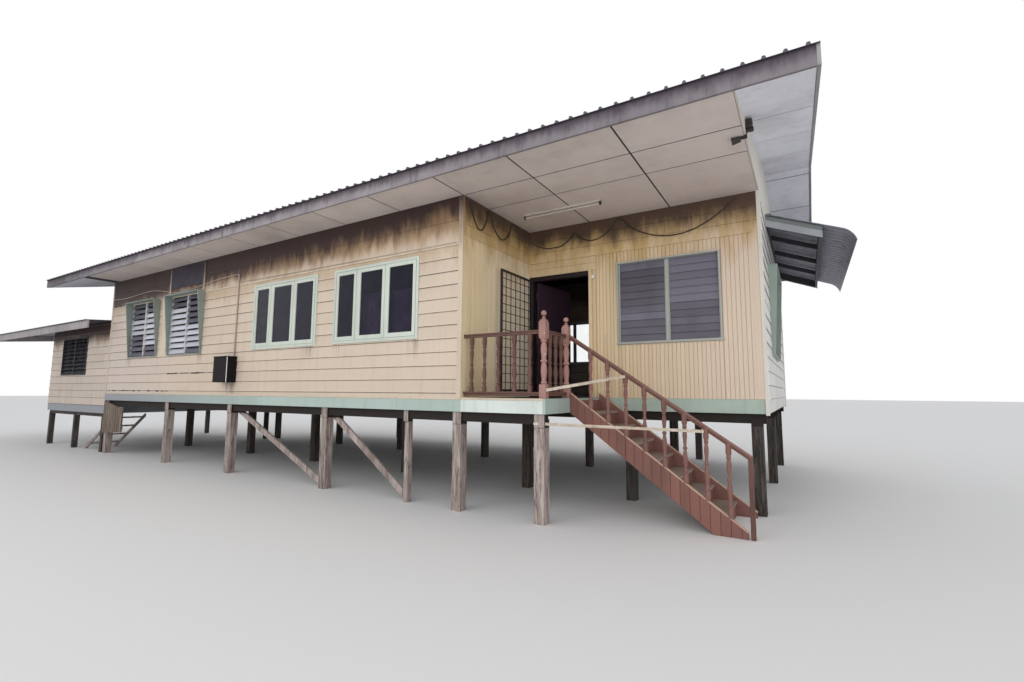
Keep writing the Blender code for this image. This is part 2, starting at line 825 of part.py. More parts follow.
def make_gate(pin):
    """A welded grille in a square frame; gives back the knuckles that sit on the jamb."""
    low = floor_top + gate_lift
    high = door_head - run_gap
    near, far = hinge_offset, hinge_offset + gate_frame
    left, right = run_gap / 2, run_gap / 2 + door_width

    def member(name, corner, opposite):
        return leaf_block(name, corner, opposite, pin, gate_open)

    frame = member("grille_gate", (left, near, low), (left + gate_frame, far, high))
    parts = [
        member("stile", (right - gate_frame, near, low), (right, far, high)),
        member("rail", (left, near, low), (right, far, low + gate_frame)),
        member("rail", (left, near, high - gate_frame), (right, far, high)),
    ]
    middle = (near + far) / 2
    half = gate_bar / 2
    for index in range(1, gate_columns):
        x = left + door_width * index / gate_columns
        corner = (x - half, middle - half, low + half)
        parts.append(member("bar", corner, (x + half, middle + half, high - half)))
    for index in range(1, gate_rows):
        z = low + (high - low) * index / gate_rows
        corner = (left + half, middle - half, z - half)
        parts.append(member("bar", corner, (right - half, middle + half, z + half)))
    heights = [low + (high - low) * share for share in (0.1, 0.9)]
    fixed, moving = hinge_halves(pin, gate_open, heights, 1, recess + hinge_bite)
    keep(fuse(frame, parts + moving), iron)
    return fixed


def newel_post(name, x, y, bottom, top):
    """A square newel with a ball on a neck at its head."""
    half = newel / 2
    shaft = block(name, (x - half, y - half, bottom), (x + half, y + half, top))
    shape = bmesh.new()
    bmesh.ops.create_uvsphere(shape, u_segments=10, v_segments=6, radius=newel_ball)
    ball = new_mesh("ball", shape)
    ball.location = (x, y, top + newel_ball * 1.3)
    ball.rotation_euler.z = math.radians(11)
    neck = pin("neck", x, y, top - 0.01, top + newel_ball, newel_ball * 0.6)
    return shaft, [ball, neck]


def make_balustrades():
    y = band_board + rail_width / 2
    corner = deck_length - newel / 2 - seat
    base = floor_top + seat
    newel_top = rail_top + newel_rise
    shaft, parts = newel_post("deck_balustrade", corner, y, base, newel_top)
    rails = ((rail_top - rail_height, rail_top), (low_rail_top - rail_height, low_rail_top))
    half = rail_width / 2
    for bottom, top in rails:
        parts.append(block("rail", (seat, y - half, bottom), (corner, y + half, top)))
        parts.append(block("rail", (corner - half, y, bottom), (corner + half, stair_near, top)))
    bottom = low_rail_top - rail_height / 2
    top = rail_top - rail_height / 2
    for index in range(front_balusters):
        x = corner * (index + 0.65) / (front_balusters + 0.45)
        parts.append(turned("baluster", x, y, bottom, top, baluster_radius))
    for index in range(1, side_balusters + 1):
        place = y + (stair_near - y) * index / (side_balusters + 1)
        parts.append(turned("baluster", corner, place, bottom, top, baluster_radius))
    second, more = newel_post("newel", corner, stair_near, base, newel_top)
    keep(fuse(shaft, parts + [second] + more), stair_red)


def stair_line(x):
    """Height of the nosing line of the stair at a place along its run."""
    return floor_top - (x - deck_length) * floor_top / stair_run


def make_stair():
    rise = floor_top / riser_count
    going = stair_run / riser_count
    outline = [(deck_length + seat, floor_top - rise)]
    under = []
    for index in range(riser_count - 1):
        z = floor_top - rise * (index + 1)
        nose = deck_length + going * (index + 1)
        outline += [(nose, z), (nose, z - rise)]
        under += [(nose - tread_board, z - tread_board), (nose - tread_board, z - rise - tread_board)]
    foot = outline.pop()[0]
    outline += [(foot, seat), (foot - tread_board, seat)]
    under = [(deck_length + seat, floor_top - rise - tread_board)] + under[:-1]
    width = stair_width - stringer_board
    flight = flat("stair_flight", outline + under[::-1], width, in_xz(stair_near + stair_width / 2))
    stringers = []
    for y in (stair_near, stair_near + stair_width - stringer_board):
        start = deck_length + seat
        end = deck_length + stair_run
        outline = [
            (start, floor_top + stringer_lift), (end, stringer_lift), (end, seat),
            (end - stringer_foot, seat), (start, band_bottom),
        ]
        stringers.append(flat("stringer", outline, stringer_board, in_xz(y + stringer_board / 2)))
    keep(fuse(flight, stringers), stair_red)

    y = stair_near + stringer_board / 2
    end = deck_length + stair_run
    post = block(
        "stair_balustrade", (end + seat, y - foot_post / 2, seat),
        (end + seat + foot_post, y + foot_post / 2, handrail_end),
    )
    begin, finish = deck_length + seat, end + foot_post / 2
    outline = [
        (begin, rail_top), (begin, rail_top - rail_height), (finish, handrail_end - rail_height),
        (finish, handrail_end),
    ]
    parts = [flat("handrail", outline, rail_width, in_xz(y))]
    slope = (rail_top - handrail_end) / (finish - begin)
    steep = floor_top / stair_run
    for index in range(1, stair_balusters + 1):
        x = deck_length + stair_run * (index + 0.25) / (stair_balusters + 1)
        bottom = stair_line(x) + stringer_lift + baluster_radius * steep + seat
        top = rail_top - rail_height / 2 - slope * (x - begin)
        parts.append(turned("baluster", x, y, bottom, top, baluster_radius))
    keep(fuse(post, parts), stair_red)


def awning_curve(offset):
    """The awning's profile out from the wall: straight down its rafters, then rolled over; offset lifts it."""
    x0 = porch_length + seat
    x1 = porch_length + awning_reach
    top = awning_wall_top + awning_lift + offset
    slope = awning_drop / (x1 - x0)
    line = [(x0, top), (x1, top - awning_drop)]
    for step in range(1, 5):
        turn = math.radians(16 * step)
        x = x1 + (awning_nose + offset) * math.sin(turn) * 0.85
        fall = awning_nose * (1 - math.cos(turn)) + slope * (x - x1)
        line.append((x, top - awning_drop - fall))
    return line


def make_awning():
    start, end = awning_start, awning_start + awning_length
    x0 = porch_length + seat
    x1 = porch_length + awning_reach
    foot = awning_wall_top - awning_drop
    board = [
        (x0, awning_wall_top - awning_board), (x1, foot - awning_board), (x1, foot), (x0, awning_wall_top),
    ]
    near = flat("awning_frame", board, band_board, in_xz(start + band_board / 2))
    parts = [flat("board", board, band_board, in_xz(end - band_board / 2))]
    slope = awning_drop / awning_reach
    for share in (0.02, 0.35, 0.65, 0.92):
        x = x0 + awning_reach * share
        top = awning_wall_top - slope * (x - x0) + awning_purlin / 2
        low = (x, start, top - 2 * awning_purlin)
        parts.append(block("purlin", low, (x + awning_purlin, end, top - awning_purlin / 2)))
    keep(fuse(near, parts), fascia_paint)

    lower = awning_curve(0)
    upper = awning_curve(sheet)
    middle = (start + end) / 2
    width = awning_length + 2 * awning_overlap
    cover = flat("awning_sheet", upper + lower[::-1], width, in_xz(middle))
    crest = awning_curve(rib_height)
    ribs = []
    for index in range(int(width / rib_pitch)):
        y = start - awning_overlap + rib_width + index * rib_pitch
        ribs.append(flat("rib", crest + lower[::-1], rib_width * 0.75, in_xz(y)))
    keep(fuse(cover, ribs), roof_metal)


def make_end_window():
    """A shallow three-light box window on the end wall, under the awning."""
    y0, y1 = box_start + seat, box_start + box_width - seat
    bottom, top = box_sill + seat, box_head - seat
    back, face = porch_length - wall / 2, porch_length + box_reach
    side = box_board * 1.5
    head = block("end_window_box", (back, y0, top - side), (face, y1, top))
    parts = [
        block("side", (back, y0, bottom), (face, y0 + side, top - side / 2)),
        block("side", (back, y1 - side, bottom), (face, y1, top - side / 2)),
        block("sill", (back, y0, bottom), (face, y1, bottom + side)),
    ]
    pane = face - frame_depth / 2
    inner = (y0 + side / 2, bottom + side / 2), (y1 - side / 2, top - side / 2)
    low = (pane, *inner[0])
    parts.append(block("pane", low, (pane + glass, *inner[1])))
    for index in range(1, 3):
        y = y0 + (y1 - y0) * index / 3
        low = (pane - side / 2, y - side / 2, inner[0][1])
        parts.append(block("post", low, (pane + side / 2, y + side / 2, inner[1][1])))
    keep(fuse(head, parts), frame_green)


def annexe_top(y):
    """Height of the annexe roof's underside at a place across it."""
    return annexe_wall_top + annexe_slope * y - seat


def make_annexe():
    right = house_left - seat
    left = house_left - annexe_length
    deep = annexe_depth
    base = annexe_floor_top
    floor = block("annexe_floor", (left, 0, base - annexe_band), (right, deep, base))
    low = (left + band_board, band_board, base - 2 * annexe_band)
    hollow = block("hollow", low, (right - band_board, deep - band_board, base - floor_boards))
    keep(cut(floor, [hollow]), mint)

    base += seat
    front = block("annexe_front_wall", (left, 0, base), (right, wall, annexe_top(0)))
    sill, head = annexe_window_sill, annexe_window_head
    opening = window_cutter(annexe_window_left, annexe_window_width, sill, head, 0)
    keep(cut(front, [opening]), cream)
    start = wall + seat
    outline = [(start, base), (deep, base), (deep, annexe_top(deep)), (start, annexe_top(start))]
    side = flat("annexe_rear_walls", outline, wall, in_yz(left + wall / 2))
    back = block("back", (left, deep - wall, base), (right, deep, annexe_top(deep - wall)))
    keep(fuse(side, [back]), cream)
    louvre("annexe_window", annexe_window_left, 0, annexe_window_width, sill, head, 0)


def make_annexe_roof():
    right = house_left - seat
    left = house_left - annexe_length
    far_left = left - annexe_roof_reach
    start, end = -annexe_eave, annexe_depth + annexe_eave / 2
    cover = slope_sheet(
        "annexe_roof", far_left, right, start - drip, end, annexe_top(end) + seat, annexe_slope
    )
    keep(cover, roof_metal)

    high = annexe_top(start)
    low = (far_left, start, high - annexe_fascia)
    fascia = block("annexe_roof_frame", low, (right, start + fascia_board, high))
    outline = [
        (start, high - annexe_fascia), (end, annexe_top(end) - annexe_fascia / 2),
        (end, annexe_top(end)), (start, high),
    ]
    rafter = flat("rafter", outline, 2 * fascia_board, in_yz(far_left + fascia_board))
    side = left - seat
    y = annexe_beam_y
    top = annexe_top(y)
    beam_low = (far_left, y, top - annexe_beam_depth)
    beam = block("beam", beam_low, (side, y + annexe_beam_width, top))
    middle = y + annexe_beam_width / 2
    strut_head = (side - annexe_strut_reach, middle, top - annexe_beam_depth / 2)
    strut_foot = (side - annexe_strut, middle, annexe_strut_foot)
    strut = bar("strut", strut_head, strut_foot, annexe_strut, annexe_strut)
    low = (side - 2 * annexe_strut, y - annexe_strut, annexe_strut_foot - 2 * annexe_strut)
    back = y + annexe_beam_width + annexe_strut
    cleat = block("cleat", low, (side, back, annexe_strut_foot + annexe_strut))
    keep(fuse(fascia, [rafter, beam, strut, cleat]), fascia_paint)


def make_annexe_posts():
    left = house_left - annexe_length + band_board
    right = house_left - post_width
    top = annexe_floor_top - annexe_band - seat
    near, far = row_y, annexe_depth - row_y
    half = bearer_width / 2
    bearer = block("annexe_posts", (left, near - half, top - bearer_width), (right, near + half, top))
    parts = [
        block("bearer", (left, far - half, top - bearer_width), (right, far + half, top)),
        block("tie", (left, near, top - bearer_width), (left + bearer_width, far, top)),
    ]
    thin = post_width * 0.8
    for x in (left + thin / 2, (left + right) / 2, right - thin / 2):
        for y in (near, far):
            parts.append(upright("post", x, y, 0, top - bearer_width / 2, thin))
    keep(fuse(bearer, parts), weathered)


def tube(name, points, radius, resolution=2):
    """A round tube along a smooth line through hand-set points."""
    curve = bpy.data.curves.new(name, "CURVE")
    curve.dimensions = "3D"
    curve.bevel_depth = radius
    curve.bevel_resolution = resolution
    curve.use_fill_caps = True
    line = curve.splines.new("POLY")
    line.points.add(len(points) - 1)
    for point, place in zip(line.points, points):
        point.co = (*place, 1)
    drawn = bpy.data.objects.new(name, curve)
    bpy.context.scene.collection.objects.link(drawn)
    return drawn


def swag(start, end, sag, steps=6):
    """Points of one hanging loop between two clips, without its last point."""
    start, end = Vector(start), Vector(end)
    points = []
    for step in range(steps):
        share = step / steps
        point = start.lerp(end, share)
        point.z -= sag * 4 * share * (1 - share)
        points.append(tuple(point))
    return points


def as_mesh(drawn):
    """The closed mesh of a tube, so that it can be fused to other solids."""
    bpy.context.view_layer.update()
    mesh = bpy.data.meshes.new_from_object(drawn)
    shape = bmesh.new()
    shape.from_mesh(mesh)
    bmesh.ops.remove_doubles(shape, verts=shape.verts, dist=0.00001)
    made = new_mesh(drawn.name, shape)
    bpy.data.objects.remove(drawn)
    return made


def make_meter():
    """A meter box, its conduit up and along the wall, and the wire that loops on to the left end."""
    top = meter_sill + meter_height
    low = (meter_left, -meter_depth, meter_sill)
    box = block("meter_box", low, (meter_left + meter_width, -seat, top))
    x = meter_left + meter_width - 0.08
    y = -conduit_radius - seat
    bend = 0.05
    points = [
        (x, y, top - conduit_radius), (x, y, conduit_height - bend),
        (x + bend, y, conduit_height), (-wall / 2, y, conduit_height),
    ]
    parts = [as_mesh(tube("conduit", points, conduit_radius))]
    clip_x = house_left + wall
    y = -cable_radius - seat
    loops = [(x, y, conduit_height - bend), (-7.2, y, 3.8), (-9.2, y, 3.92), (clip_x, y, 3.89)]
    points = []
    for start, end, sag in zip(loops, loops[1:], (0.02, 0.03, 0.02)):
        points += swag(start, end, sag)
    points.append(loops[-1])
    parts.append(as_mesh(tube("wire", points, cable_radius)))
    keep(fuse(box, parts), plastic)


def make_porch_cable():
    """The cable that hangs in loops along the return wall and the porch wall."""
    clear = cable_radius + seat
    x, y = clear, recess - clear
    top = cable_top
    clips = [(x, 0.12, top), (x, 0.6, top), (x, 1.3, top)]
    points = []
    for start, end, sag in zip(clips, clips[1:], (0.36, 0.34)):
        points += swag(start, end, sag)
    clips = [clips[-1], (0.5, y, 4.01), (0.86, y, 4.2), (1.6, y, top), (3.3, y, top)]
    for start, end, sag in zip(clips, clips[1:], (0.14, 0.06, 0.22, 0.4)):
        points += swag(start, end, sag, 8)
    points.append(clips[-1])
    keep(tube("porch_cable", points, cable_radius), plastic)


def make_lights():
    low = (light_left, light_y, ceiling - light_height)
    high = (light_left + light_length, light_y + light_width, ceiling - seat)
    keep(block("tube_light", low, high), white_plastic)
    x = porch_length + seat
    top = eave_under
    high = (x + lamp_size, lamp_y + 1.5 * lamp_size, top)
    keep(block("floodlight", (x, lamp_y, top - lamp_size), high), plastic)


def make_battens():
    """Two loose battens nailed across the foot of the balustrade and the stair."""
    half = batten_thickness / 2
    y = stair_near - newel / 2 - seat - half
    start = (deck_length - 1.6 * newel, y, floor_top + 0.1)
    end = (deck_length + 0.85, y, floor_top + 0.1 + batten_rise)
    keep(bar("pale_batten", start, end, batten_thickness, batten_width), pale_wood)
    baluster_front = stringer_board / 2 - baluster_radius * math.cos(math.pi / baluster_sides)
    y = stair_near + min(0, baluster_front) - seat - half
    start = (low_batten_left, y, low_batten_height)
    end = (low_batten_right, y, low_batten_height)
    keep(bar("low_batten", start, end, batten_thickness, batten_thickness), pale_wood)


make_floor()
make_bands()
make_posts()
make_side_steps()
make_walls()
make_roof()
make_windows()
make_door()
make_balustrades()
make_stair()
make_awning()
make_end_window()
make_annexe()
make_annexe_roof()
make_annexe_posts()
make_meter()
make_porch_cable()
make_lights()
make_battens()

corner_post = bpy.data.objects.new("corner_post_foot", None)
bpy.context.scene.collection.objects.link(corner_post)
corner_post.location = (-row_places[-1], -row_y, 0)
for piece in list(bpy.data.objects):
    if piece is not corner_post:
        piece.parent = corner_post
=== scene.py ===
import math
import random

import bmesh
import bpy
from mathutils import Matrix, Vector


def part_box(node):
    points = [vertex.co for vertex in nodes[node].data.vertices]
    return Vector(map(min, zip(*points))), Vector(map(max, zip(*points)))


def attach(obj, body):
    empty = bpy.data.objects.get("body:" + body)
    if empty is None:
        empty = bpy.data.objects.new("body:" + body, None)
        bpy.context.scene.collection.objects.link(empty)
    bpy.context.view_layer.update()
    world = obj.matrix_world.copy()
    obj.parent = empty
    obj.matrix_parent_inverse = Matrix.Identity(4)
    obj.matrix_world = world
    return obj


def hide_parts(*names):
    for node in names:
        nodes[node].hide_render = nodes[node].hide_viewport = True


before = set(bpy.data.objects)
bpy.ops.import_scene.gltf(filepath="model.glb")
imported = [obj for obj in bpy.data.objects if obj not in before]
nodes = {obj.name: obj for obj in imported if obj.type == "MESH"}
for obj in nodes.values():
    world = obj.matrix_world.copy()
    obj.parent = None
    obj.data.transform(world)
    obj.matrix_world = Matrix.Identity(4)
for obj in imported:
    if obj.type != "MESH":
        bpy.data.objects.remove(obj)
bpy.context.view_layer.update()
random.seed(7)

camera = {
    "place": (4.099, -5.41, 1.592),
    "heading": -31.155,  # degrees from +Y, towards -X
    "pitch": 5.972,
    "roll": 0.35,
    "lens": 17.07,  # millimetres on a 36 mm wide sensor
}


def makeCamera():
    data = bpy.data.cameras.new("camera")
    data.sensor_width = 36
    data.lens = camera["lens"]
    data.clip_start = 0.05
    data.clip_end = 400
    obj = bpy.data.objects.new("camera", data)
    turn = Matrix.Rotation(math.radians(-camera["heading"]), 4, "Z")
    tilt = Matrix.Rotation(math.radians(90 + camera["pitch"]), 4, "X")
    roll = Matrix.Rotation(math.radians(camera["roll"]), 4, "Z")
    obj.matrix_world = Matrix.Translation(camera["place"]) @ turn @ tilt @ roll
    bpy.context.scene.collection.objects.link(obj)
    bpy.context.scene.camera = obj


makeCamera()


def feed(tree, socket, value):  # links another socket to this one, or sets its value
    if isinstance(value, bpy.types.NodeSocket):
        tree.links.new(value, socket)
    else:
        socket.default_value = value


def addNode(tree, kind, inputs=None, **settings):  # a node with its settings, and its inputs by name or number
    node = tree.nodes.new(kind)
    for key, value in settings.items():
        setattr(node, key, value)
    for name, value in (inputs or {}).items():
        feed(tree, node.inputs[name], value)
    return node


def math2(tree, operation, first, second=0.0, clamp=False):
    node = addNode(tree, "ShaderNodeMath", {0: first, 1: second}, operation=operation, use_clamp=clamp)
    return node.outputs[0]


def times(tree, first, second):
    return math2(tree, "MULTIPLY", first, second)


def plus(tree, first, second, clamp=False):
    return math2(tree, "ADD", first, second, clamp)


def minus(tree, first, second):
    return math2(tree, "SUBTRACT", first, second)


def splitPlace(tree, place):
    return addNode(tree, "ShaderNodeSeparateXYZ", {0: place}).outputs


def mapRange(tree, value, low, high, outLow=0.0, outHigh=1.0):
    values = {"Value": value, "From Min": low, "From Max": high, "To Min": outLow, "To Max": outHigh}
    return addNode(tree, "ShaderNodeMapRange", values, interpolation_type="SMOOTHSTEP").outputs["Result"]


def mixColor(tree, factor, first, second):
    node = addNode(tree, "ShaderNodeMix", data_type="RGBA")
    for index, value in ((0, factor), (6, first), (7, second)):
        feed(tree, node.inputs[index], value)
    return node.outputs[2]


def noise(tree, vector, scale, detail=4.0, rough=0.55, stretch=None, seed=0.0):
    if stretch:
        vector = addNode(tree, "ShaderNodeMapping", {"Vector": vector, "Scale": stretch}).outputs[0]
    values = {"Vector": vector, "W": seed, "Scale": scale, "Detail": detail, "Roughness": rough}
    return addNode(tree, "ShaderNodeTexNoise", noise_dimensions="4D", inputs=values).outputs[0]


def newGroup(name, inputs, outputs):  # a node group with named sockets, its given inputs and its outputs to fill
    group = bpy.data.node_groups.new(name, "ShaderNodeTree")
    kinds = {"float": "NodeSocketFloat", "color": "NodeSocketColor", "vector": "NodeSocketVector"}
    for label, kind, value in (("Vector", "vector", (0, 0, 0)), *inputs):
        socket = group.interface.new_socket(label, in_out="INPUT", socket_type=kinds[kind])
        socket.default_value = value
    for label in outputs:
        kind = "color" if label == "Color" else "float"
        group.interface.new_socket(label, in_out="OUTPUT", socket_type=kinds[kind])
    return group, group.nodes.new("NodeGroupInput").outputs, group.nodes.new("NodeGroupOutput").inputs


def fillGroup(group, made, **values):
    for name, value in values.items():
        group.links.new(value, made[name])
    return group


def paintGroup():  # old paint: dirt patches, rain streaks, chips down to the timber and a tint for each board
    group, given, made = newGroup("oldPaint", [
        ("Paint", "color", (0.8, 0.8, 0.8, 1)), ("Dirt", "color", (0.1, 0.08, 0.06, 1)),
        ("Bare", "color", (0.25, 0.2, 0.15, 1)), ("Patches", "float", 0.3), ("Streaks", "float", 0.3),
        ("Chips", "float", 0.1), ("Tint", "float", 0.15), ("Seed", "float", 0.0),
    ], ("Color", "Roughness", "Height"))
    place, seed = given["Vector"], given["Seed"]
    boardTint = addNode(group, "ShaderNodeAttribute", attribute_name="boardTint").outputs["Fac"]
    swing = times(group, minus(group, boardTint, 0.5), given["Tint"])
    broad = noise(group, place, 1.1, 5, 0.6, seed=seed)
    streaky = noise(group, place, 1.0, 6, 0.65, stretch=(9, 9, 0.55), seed=seed)
    fine = noise(group, place, 42, 5, 0.6, seed=seed)
    chipped = noise(group, place, 11, 8, 0.72, seed=seed)
    brightness = plus(group, plus(group, times(group, fine, 0.12), 0.94), swing)
    shade = addNode(group, "ShaderNodeHueSaturation", {"Value": brightness, "Color": given["Paint"]})
    patches = times(group, mapRange(group, broad, 0.42, 0.78), given["Patches"])
    streaks = times(group, mapRange(group, streaky, 0.48, 0.75), given["Streaks"])
    dirt = plus(group, patches, streaks, clamp=True)
    color = mixColor(group, dirt, shade.outputs[0], given["Dirt"])
    edge = minus(group, 0.86, times(group, given["Chips"], 0.45))
    chips = mapRange(group, minus(group, chipped, edge), 0.0, 0.03)
    color = mixColor(group, chips, color, given["Bare"])
    rough = plus(group, times(group, dirt, 0.2), times(group, fine, 0.15))
    lift = minus(group, times(group, fine, 0.35), times(group, chips, 0.6))
    return fillGroup(group, made, Color=color, Roughness=plus(group, rough, 0.45, clamp=True), Height=lift)


def grainGroup():  # weathered timber, its vector stretched along the grain: long lines, checks and grey clouds
    group, given, made = newGroup("timberGrain", [
        ("Light", "color", (0.4, 0.35, 0.3, 1)), ("Dark", "color", (0.1, 0.08, 0.06, 1)),
        ("Checks", "float", 0.5), ("Seed", "float", 0.0),
    ], ("Color", "Roughness", "Height"))
    place, seed = given["Vector"], given["Seed"]
    lines = noise(group, place, 3.0, 8, 0.7, seed=seed)
    clouds = noise(group, place, 0.45, 4, 0.6, seed=seed)
    checks = noise(group, place, 1.4, 6, 0.62, seed=plus(group, seed, 3.0))
    mixing = plus(group, times(group, lines, 0.7), times(group, clouds, 0.3))
    color = mixColor(group, mapRange(group, mixing, 0.36, 0.64), given["Dark"], given["Light"])
    crack = math2(group, "ABSOLUTE", minus(group, checks, 0.5))
    crack = times(group, mapRange(group, crack, 0.022, 0.004), given["Checks"])
    color = mixColor(group, crack, color, (0.02, 0.017, 0.014, 1))
    rough = plus(group, times(group, lines, 0.25), 0.62)
    return fillGroup(group, made, Color=color, Roughness=rough, Height=minus(group, times(group, lines, 0.6), crack))


def seamGroup():  # dark dirt and a pale edge along board joints that repeat at a pitch
    group, given, made = newGroup("boardSeams", [
        ("Along", "float", 0.0), ("Pitch", "float", 0.2), ("Start", "float", 0.0), ("Width", "float", 0.008),
    ], ("Seam", "Edge"))
    share = math2(group, "DIVIDE", minus(group, given["Along"], given["Start"]), given["Pitch"])
    distance = times(group, math2(group, "FRACT", share), given["Pitch"])
    width = times(group, given["Width"], plus(group, noise(group, given["Vector"], 6, 4, 0.6), 0.4))
    ratio = math2(group, "DIVIDE", distance, width)
    near = times(group, mapRange(group, ratio, 0.9, 1.6), mapRange(group, ratio, 4.0, 2.0))
    return fillGroup(group, made, Seam=mapRange(group, ratio, 1.3, 0.7), Edge=near)


def stainGroup():  # a stain that gathers from one height to another, broken up and drawn down in runs
    group, given, made = newGroup("stainBand", [
        ("From", "float", 0.0), ("To", "float", 1.0), ("Breakup", "float", 0.4), ("Scale", "float", 2.0),
        ("Seed", "float", 0.0), ("Lean", "float", 0.0),
    ], ("Stain",))
    split = splitPlace(group, given["Vector"])
    height = minus(group, split[2], times(group, split[0], given["Lean"]))
    span = minus(group, given["To"], given["From"])
    share = math2(group, "DIVIDE", minus(group, height, given["From"]), span)
    broken = noise(group, given["Vector"], given["Scale"], 7.0, 0.66, (2.2, 2.2, 0.6), given["Seed"])
    offset = times(group, minus(group, broken, 0.5), given["Breakup"])
    total = plus(group, share, times(group, offset, 4.0))
    return fillGroup(group, made, Stain=mapRange(group, total, 0.15, 0.95))


def crackGroup():  # a broken dark gap along a board joint, between two x places
    group, given, made = newGroup("openJoint", [
        ("Left", "float", 0.0), ("Right", "float", 1.0), ("Height", "float", 0.0), ("Half", "float", 0.01),
        ("Wander", "float", 0.02), ("Seed", "float", 0.0),
    ], ("Crack",))
    split = splitPlace(group, given["Vector"])
    rough = noise(group, given["Vector"], 4.0, 6, 0.7, seed=given["Seed"])
    thick = noise(group, given["Vector"], 7.0, 5, 0.7, seed=plus(group, given["Seed"], 5.0))
    offset = times(group, minus(group, rough, 0.5), given["Wander"])
    away = minus(group, minus(group, split[2], given["Height"]), offset)
    width = times(group, given["Half"], mapRange(group, thick, 0.4, 0.62, 0.0, 1.6))
    inside = mapRange(group, minus(group, width, math2(group, "ABSOLUTE", away)), 0.0, 0.003)
    span = times(group, math2(group, "GREATER_THAN", split[0], given["Left"]),
                 math2(group, "LESS_THAN", split[0], given["Right"]))
    return fillGroup(group, made, Crack=times(group, inside, span))


def dripGroup():  # a stain that runs down from one place, between two x places
    group, given, made = newGroup("dripStain", [
        ("Left", "float", 0.0), ("Right", "float", 1.0), ("Top", "float", 0.0), ("Length", "float", 0.3),
        ("Seed", "float", 0.0),
    ], ("Drip",))
    split = splitPlace(group, given["Vector"])
    runs = noise(group, given["Vector"], 1.0, 5, 0.6, (22, 22, 1.6), given["Seed"])
    half = times(group, minus(group, given["Right"], given["Left"]), 0.5)
    middle = plus(group, given["Left"], half)
    aside = math2(group, "DIVIDE", math2(group, "ABSOLUTE", minus(group, split[0], middle)), half)
    below = math2(group, "DIVIDE", minus(group, given["Top"], split[2]), given["Length"])
    inside = times(group, mapRange(group, aside, 1.0, 0.4), mapRange(group, below, 1.0, 0.1))
    inside = times(group, inside, math2(group, "GREATER_THAN", below, 0.0))
    return fillGroup(group, made, Drip=times(group, inside, mapRange(group, runs, 0.36, 0.6)))


groups = {"paint": paintGroup(), "grain": grainGroup(), "seams": seamGroup(), "stain": stainGroup(),
          "crack": crackGroup(), "drip": dripGroup()}


def useGroup(tree, key, **values):
    return addNode(tree, "ShaderNodeGroup", values, node_tree=groups[key]).outputs


def startMaterial(name):  # a material, its tree, its Principled shader and the object coordinates
    material = bpy.data.materials.new(name)
    material.use_nodes = True
    tree = material.node_tree
    shader = tree.nodes["Principled BSDF"]
    place = addNode(tree, "ShaderNodeTexCoord").outputs["Object"]
    return material, tree, shader, place


def finishMaterial(tree, shader, color, rough, height, distance=0.002, strength=0.5):
    bump = addNode(tree, "ShaderNodeBump", {"Height": height, "Distance": distance, "Strength": strength})
    for name, value in {"Base Color": color, "Roughness": rough, "Normal": bump.outputs[0]}.items():
        feed(tree, shader.inputs[name], value)


def paintMaterial(name, paint, dirt, bare, patches=0.3, streaks=0.3, chips=0.1, tint=0.12, seed=0.0, shine=0.3,
                  seams=None, stains=(), shifts=(), cracks=(), drips=()):
    material, tree, shader, place = startMaterial(name)
    split = splitPlace(tree, place)
    painted = useGroup(tree, "paint", Vector=place, Paint=(*paint, 1), Dirt=(*dirt, 1), Bare=(*bare, 1),
                       Patches=patches, Streaks=streaks, Chips=chips, Tint=tint, Seed=seed)
    color = painted["Color"]
    for tone, axis, start, end, strength in shifts:  # a slow change of color across the piece
        color = mixColor(tree, times(tree, mapRange(tree, split[axis], start, end), strength), color, (*tone, 1))
    for tone, start, end, breakup, scale, strength, number, *lean in stains:  # between two heights, some lean with x
        mask = useGroup(tree, "stain", Vector=place, From=start, To=end, Breakup=breakup, Scale=scale, Seed=number,
                        Lean=lean[0] if lean else 0.0)["Stain"]
        color = mixColor(tree, times(tree, mask, strength), color, (*tone, 1))
    if seams:
        axis, pitch, start, width, strength = seams
        lines = useGroup(tree, "seams", Along=split[axis], Pitch=pitch, Start=start, Width=width, Vector=place)
        lighter = mixColor(tree, 0.5, color, (0.85, 0.8, 0.72, 1))
        color = mixColor(tree, times(tree, lines["Edge"], 0.35 * strength), color, lighter)
        color = mixColor(tree, times(tree, lines["Seam"], strength), color, (0.06, 0.035, 0.025, 1))
    for left, right, top, length, strength, number in drips:
        mask = useGroup(tree, "drip", Vector=place, Left=left, Right=right, Top=top, Length=length, Seed=number)["Drip"]
        color = mixColor(tree, times(tree, mask, strength), color, (0.1, 0.06, 0.05, 1))
    for left, right, height, half, wander, number in cracks:
        mask = useGroup(tree, "crack", Vector=place, Left=left, Right=right, Height=height, Half=half, Wander=wander,
                        Seed=number)["Crack"]
        color = mixColor(tree, mask, color, (0.015, 0.01, 0.009, 1))
    shader.inputs["Specular IOR Level"].default_value = shine
    finishMaterial(tree, shader, color, painted["Roughness"], painted["Height"])
    return material


def timberMaterial(name, light, dark, along, checks=0.5, seed=0.0, paintedShadeAbove=None):
    material, tree, shader, place = startMaterial(name)
    stretch = {"x": (0.7, 9, 9), "z": (9, 9, 0.7)}[along]
    stretched = addNode(tree, "ShaderNodeMapping", {"Vector": place, "Scale": stretch}).outputs[0]
    grained = useGroup(tree, "grain", Vector=stretched, Light=(*light, 1), Dark=(*dark, 1), Checks=checks, Seed=seed)
    shader.inputs["Specular IOR Level"].default_value = 0.2
    color = grained["Color"]
    if paintedShadeAbove:  # painted shade: above this height the bearers over the posts, in shadow under the floor, turn near black
        mask = mapRange(tree, splitPlace(tree, place)[2], paintedShadeAbove - 0.03, paintedShadeAbove)
        color = mixColor(tree, mask, color, (0.028, 0.022, 0.02, 1))
    finishMaterial(tree, shader, color, grained["Roughness"], grained["Height"], 0.004)
    return material


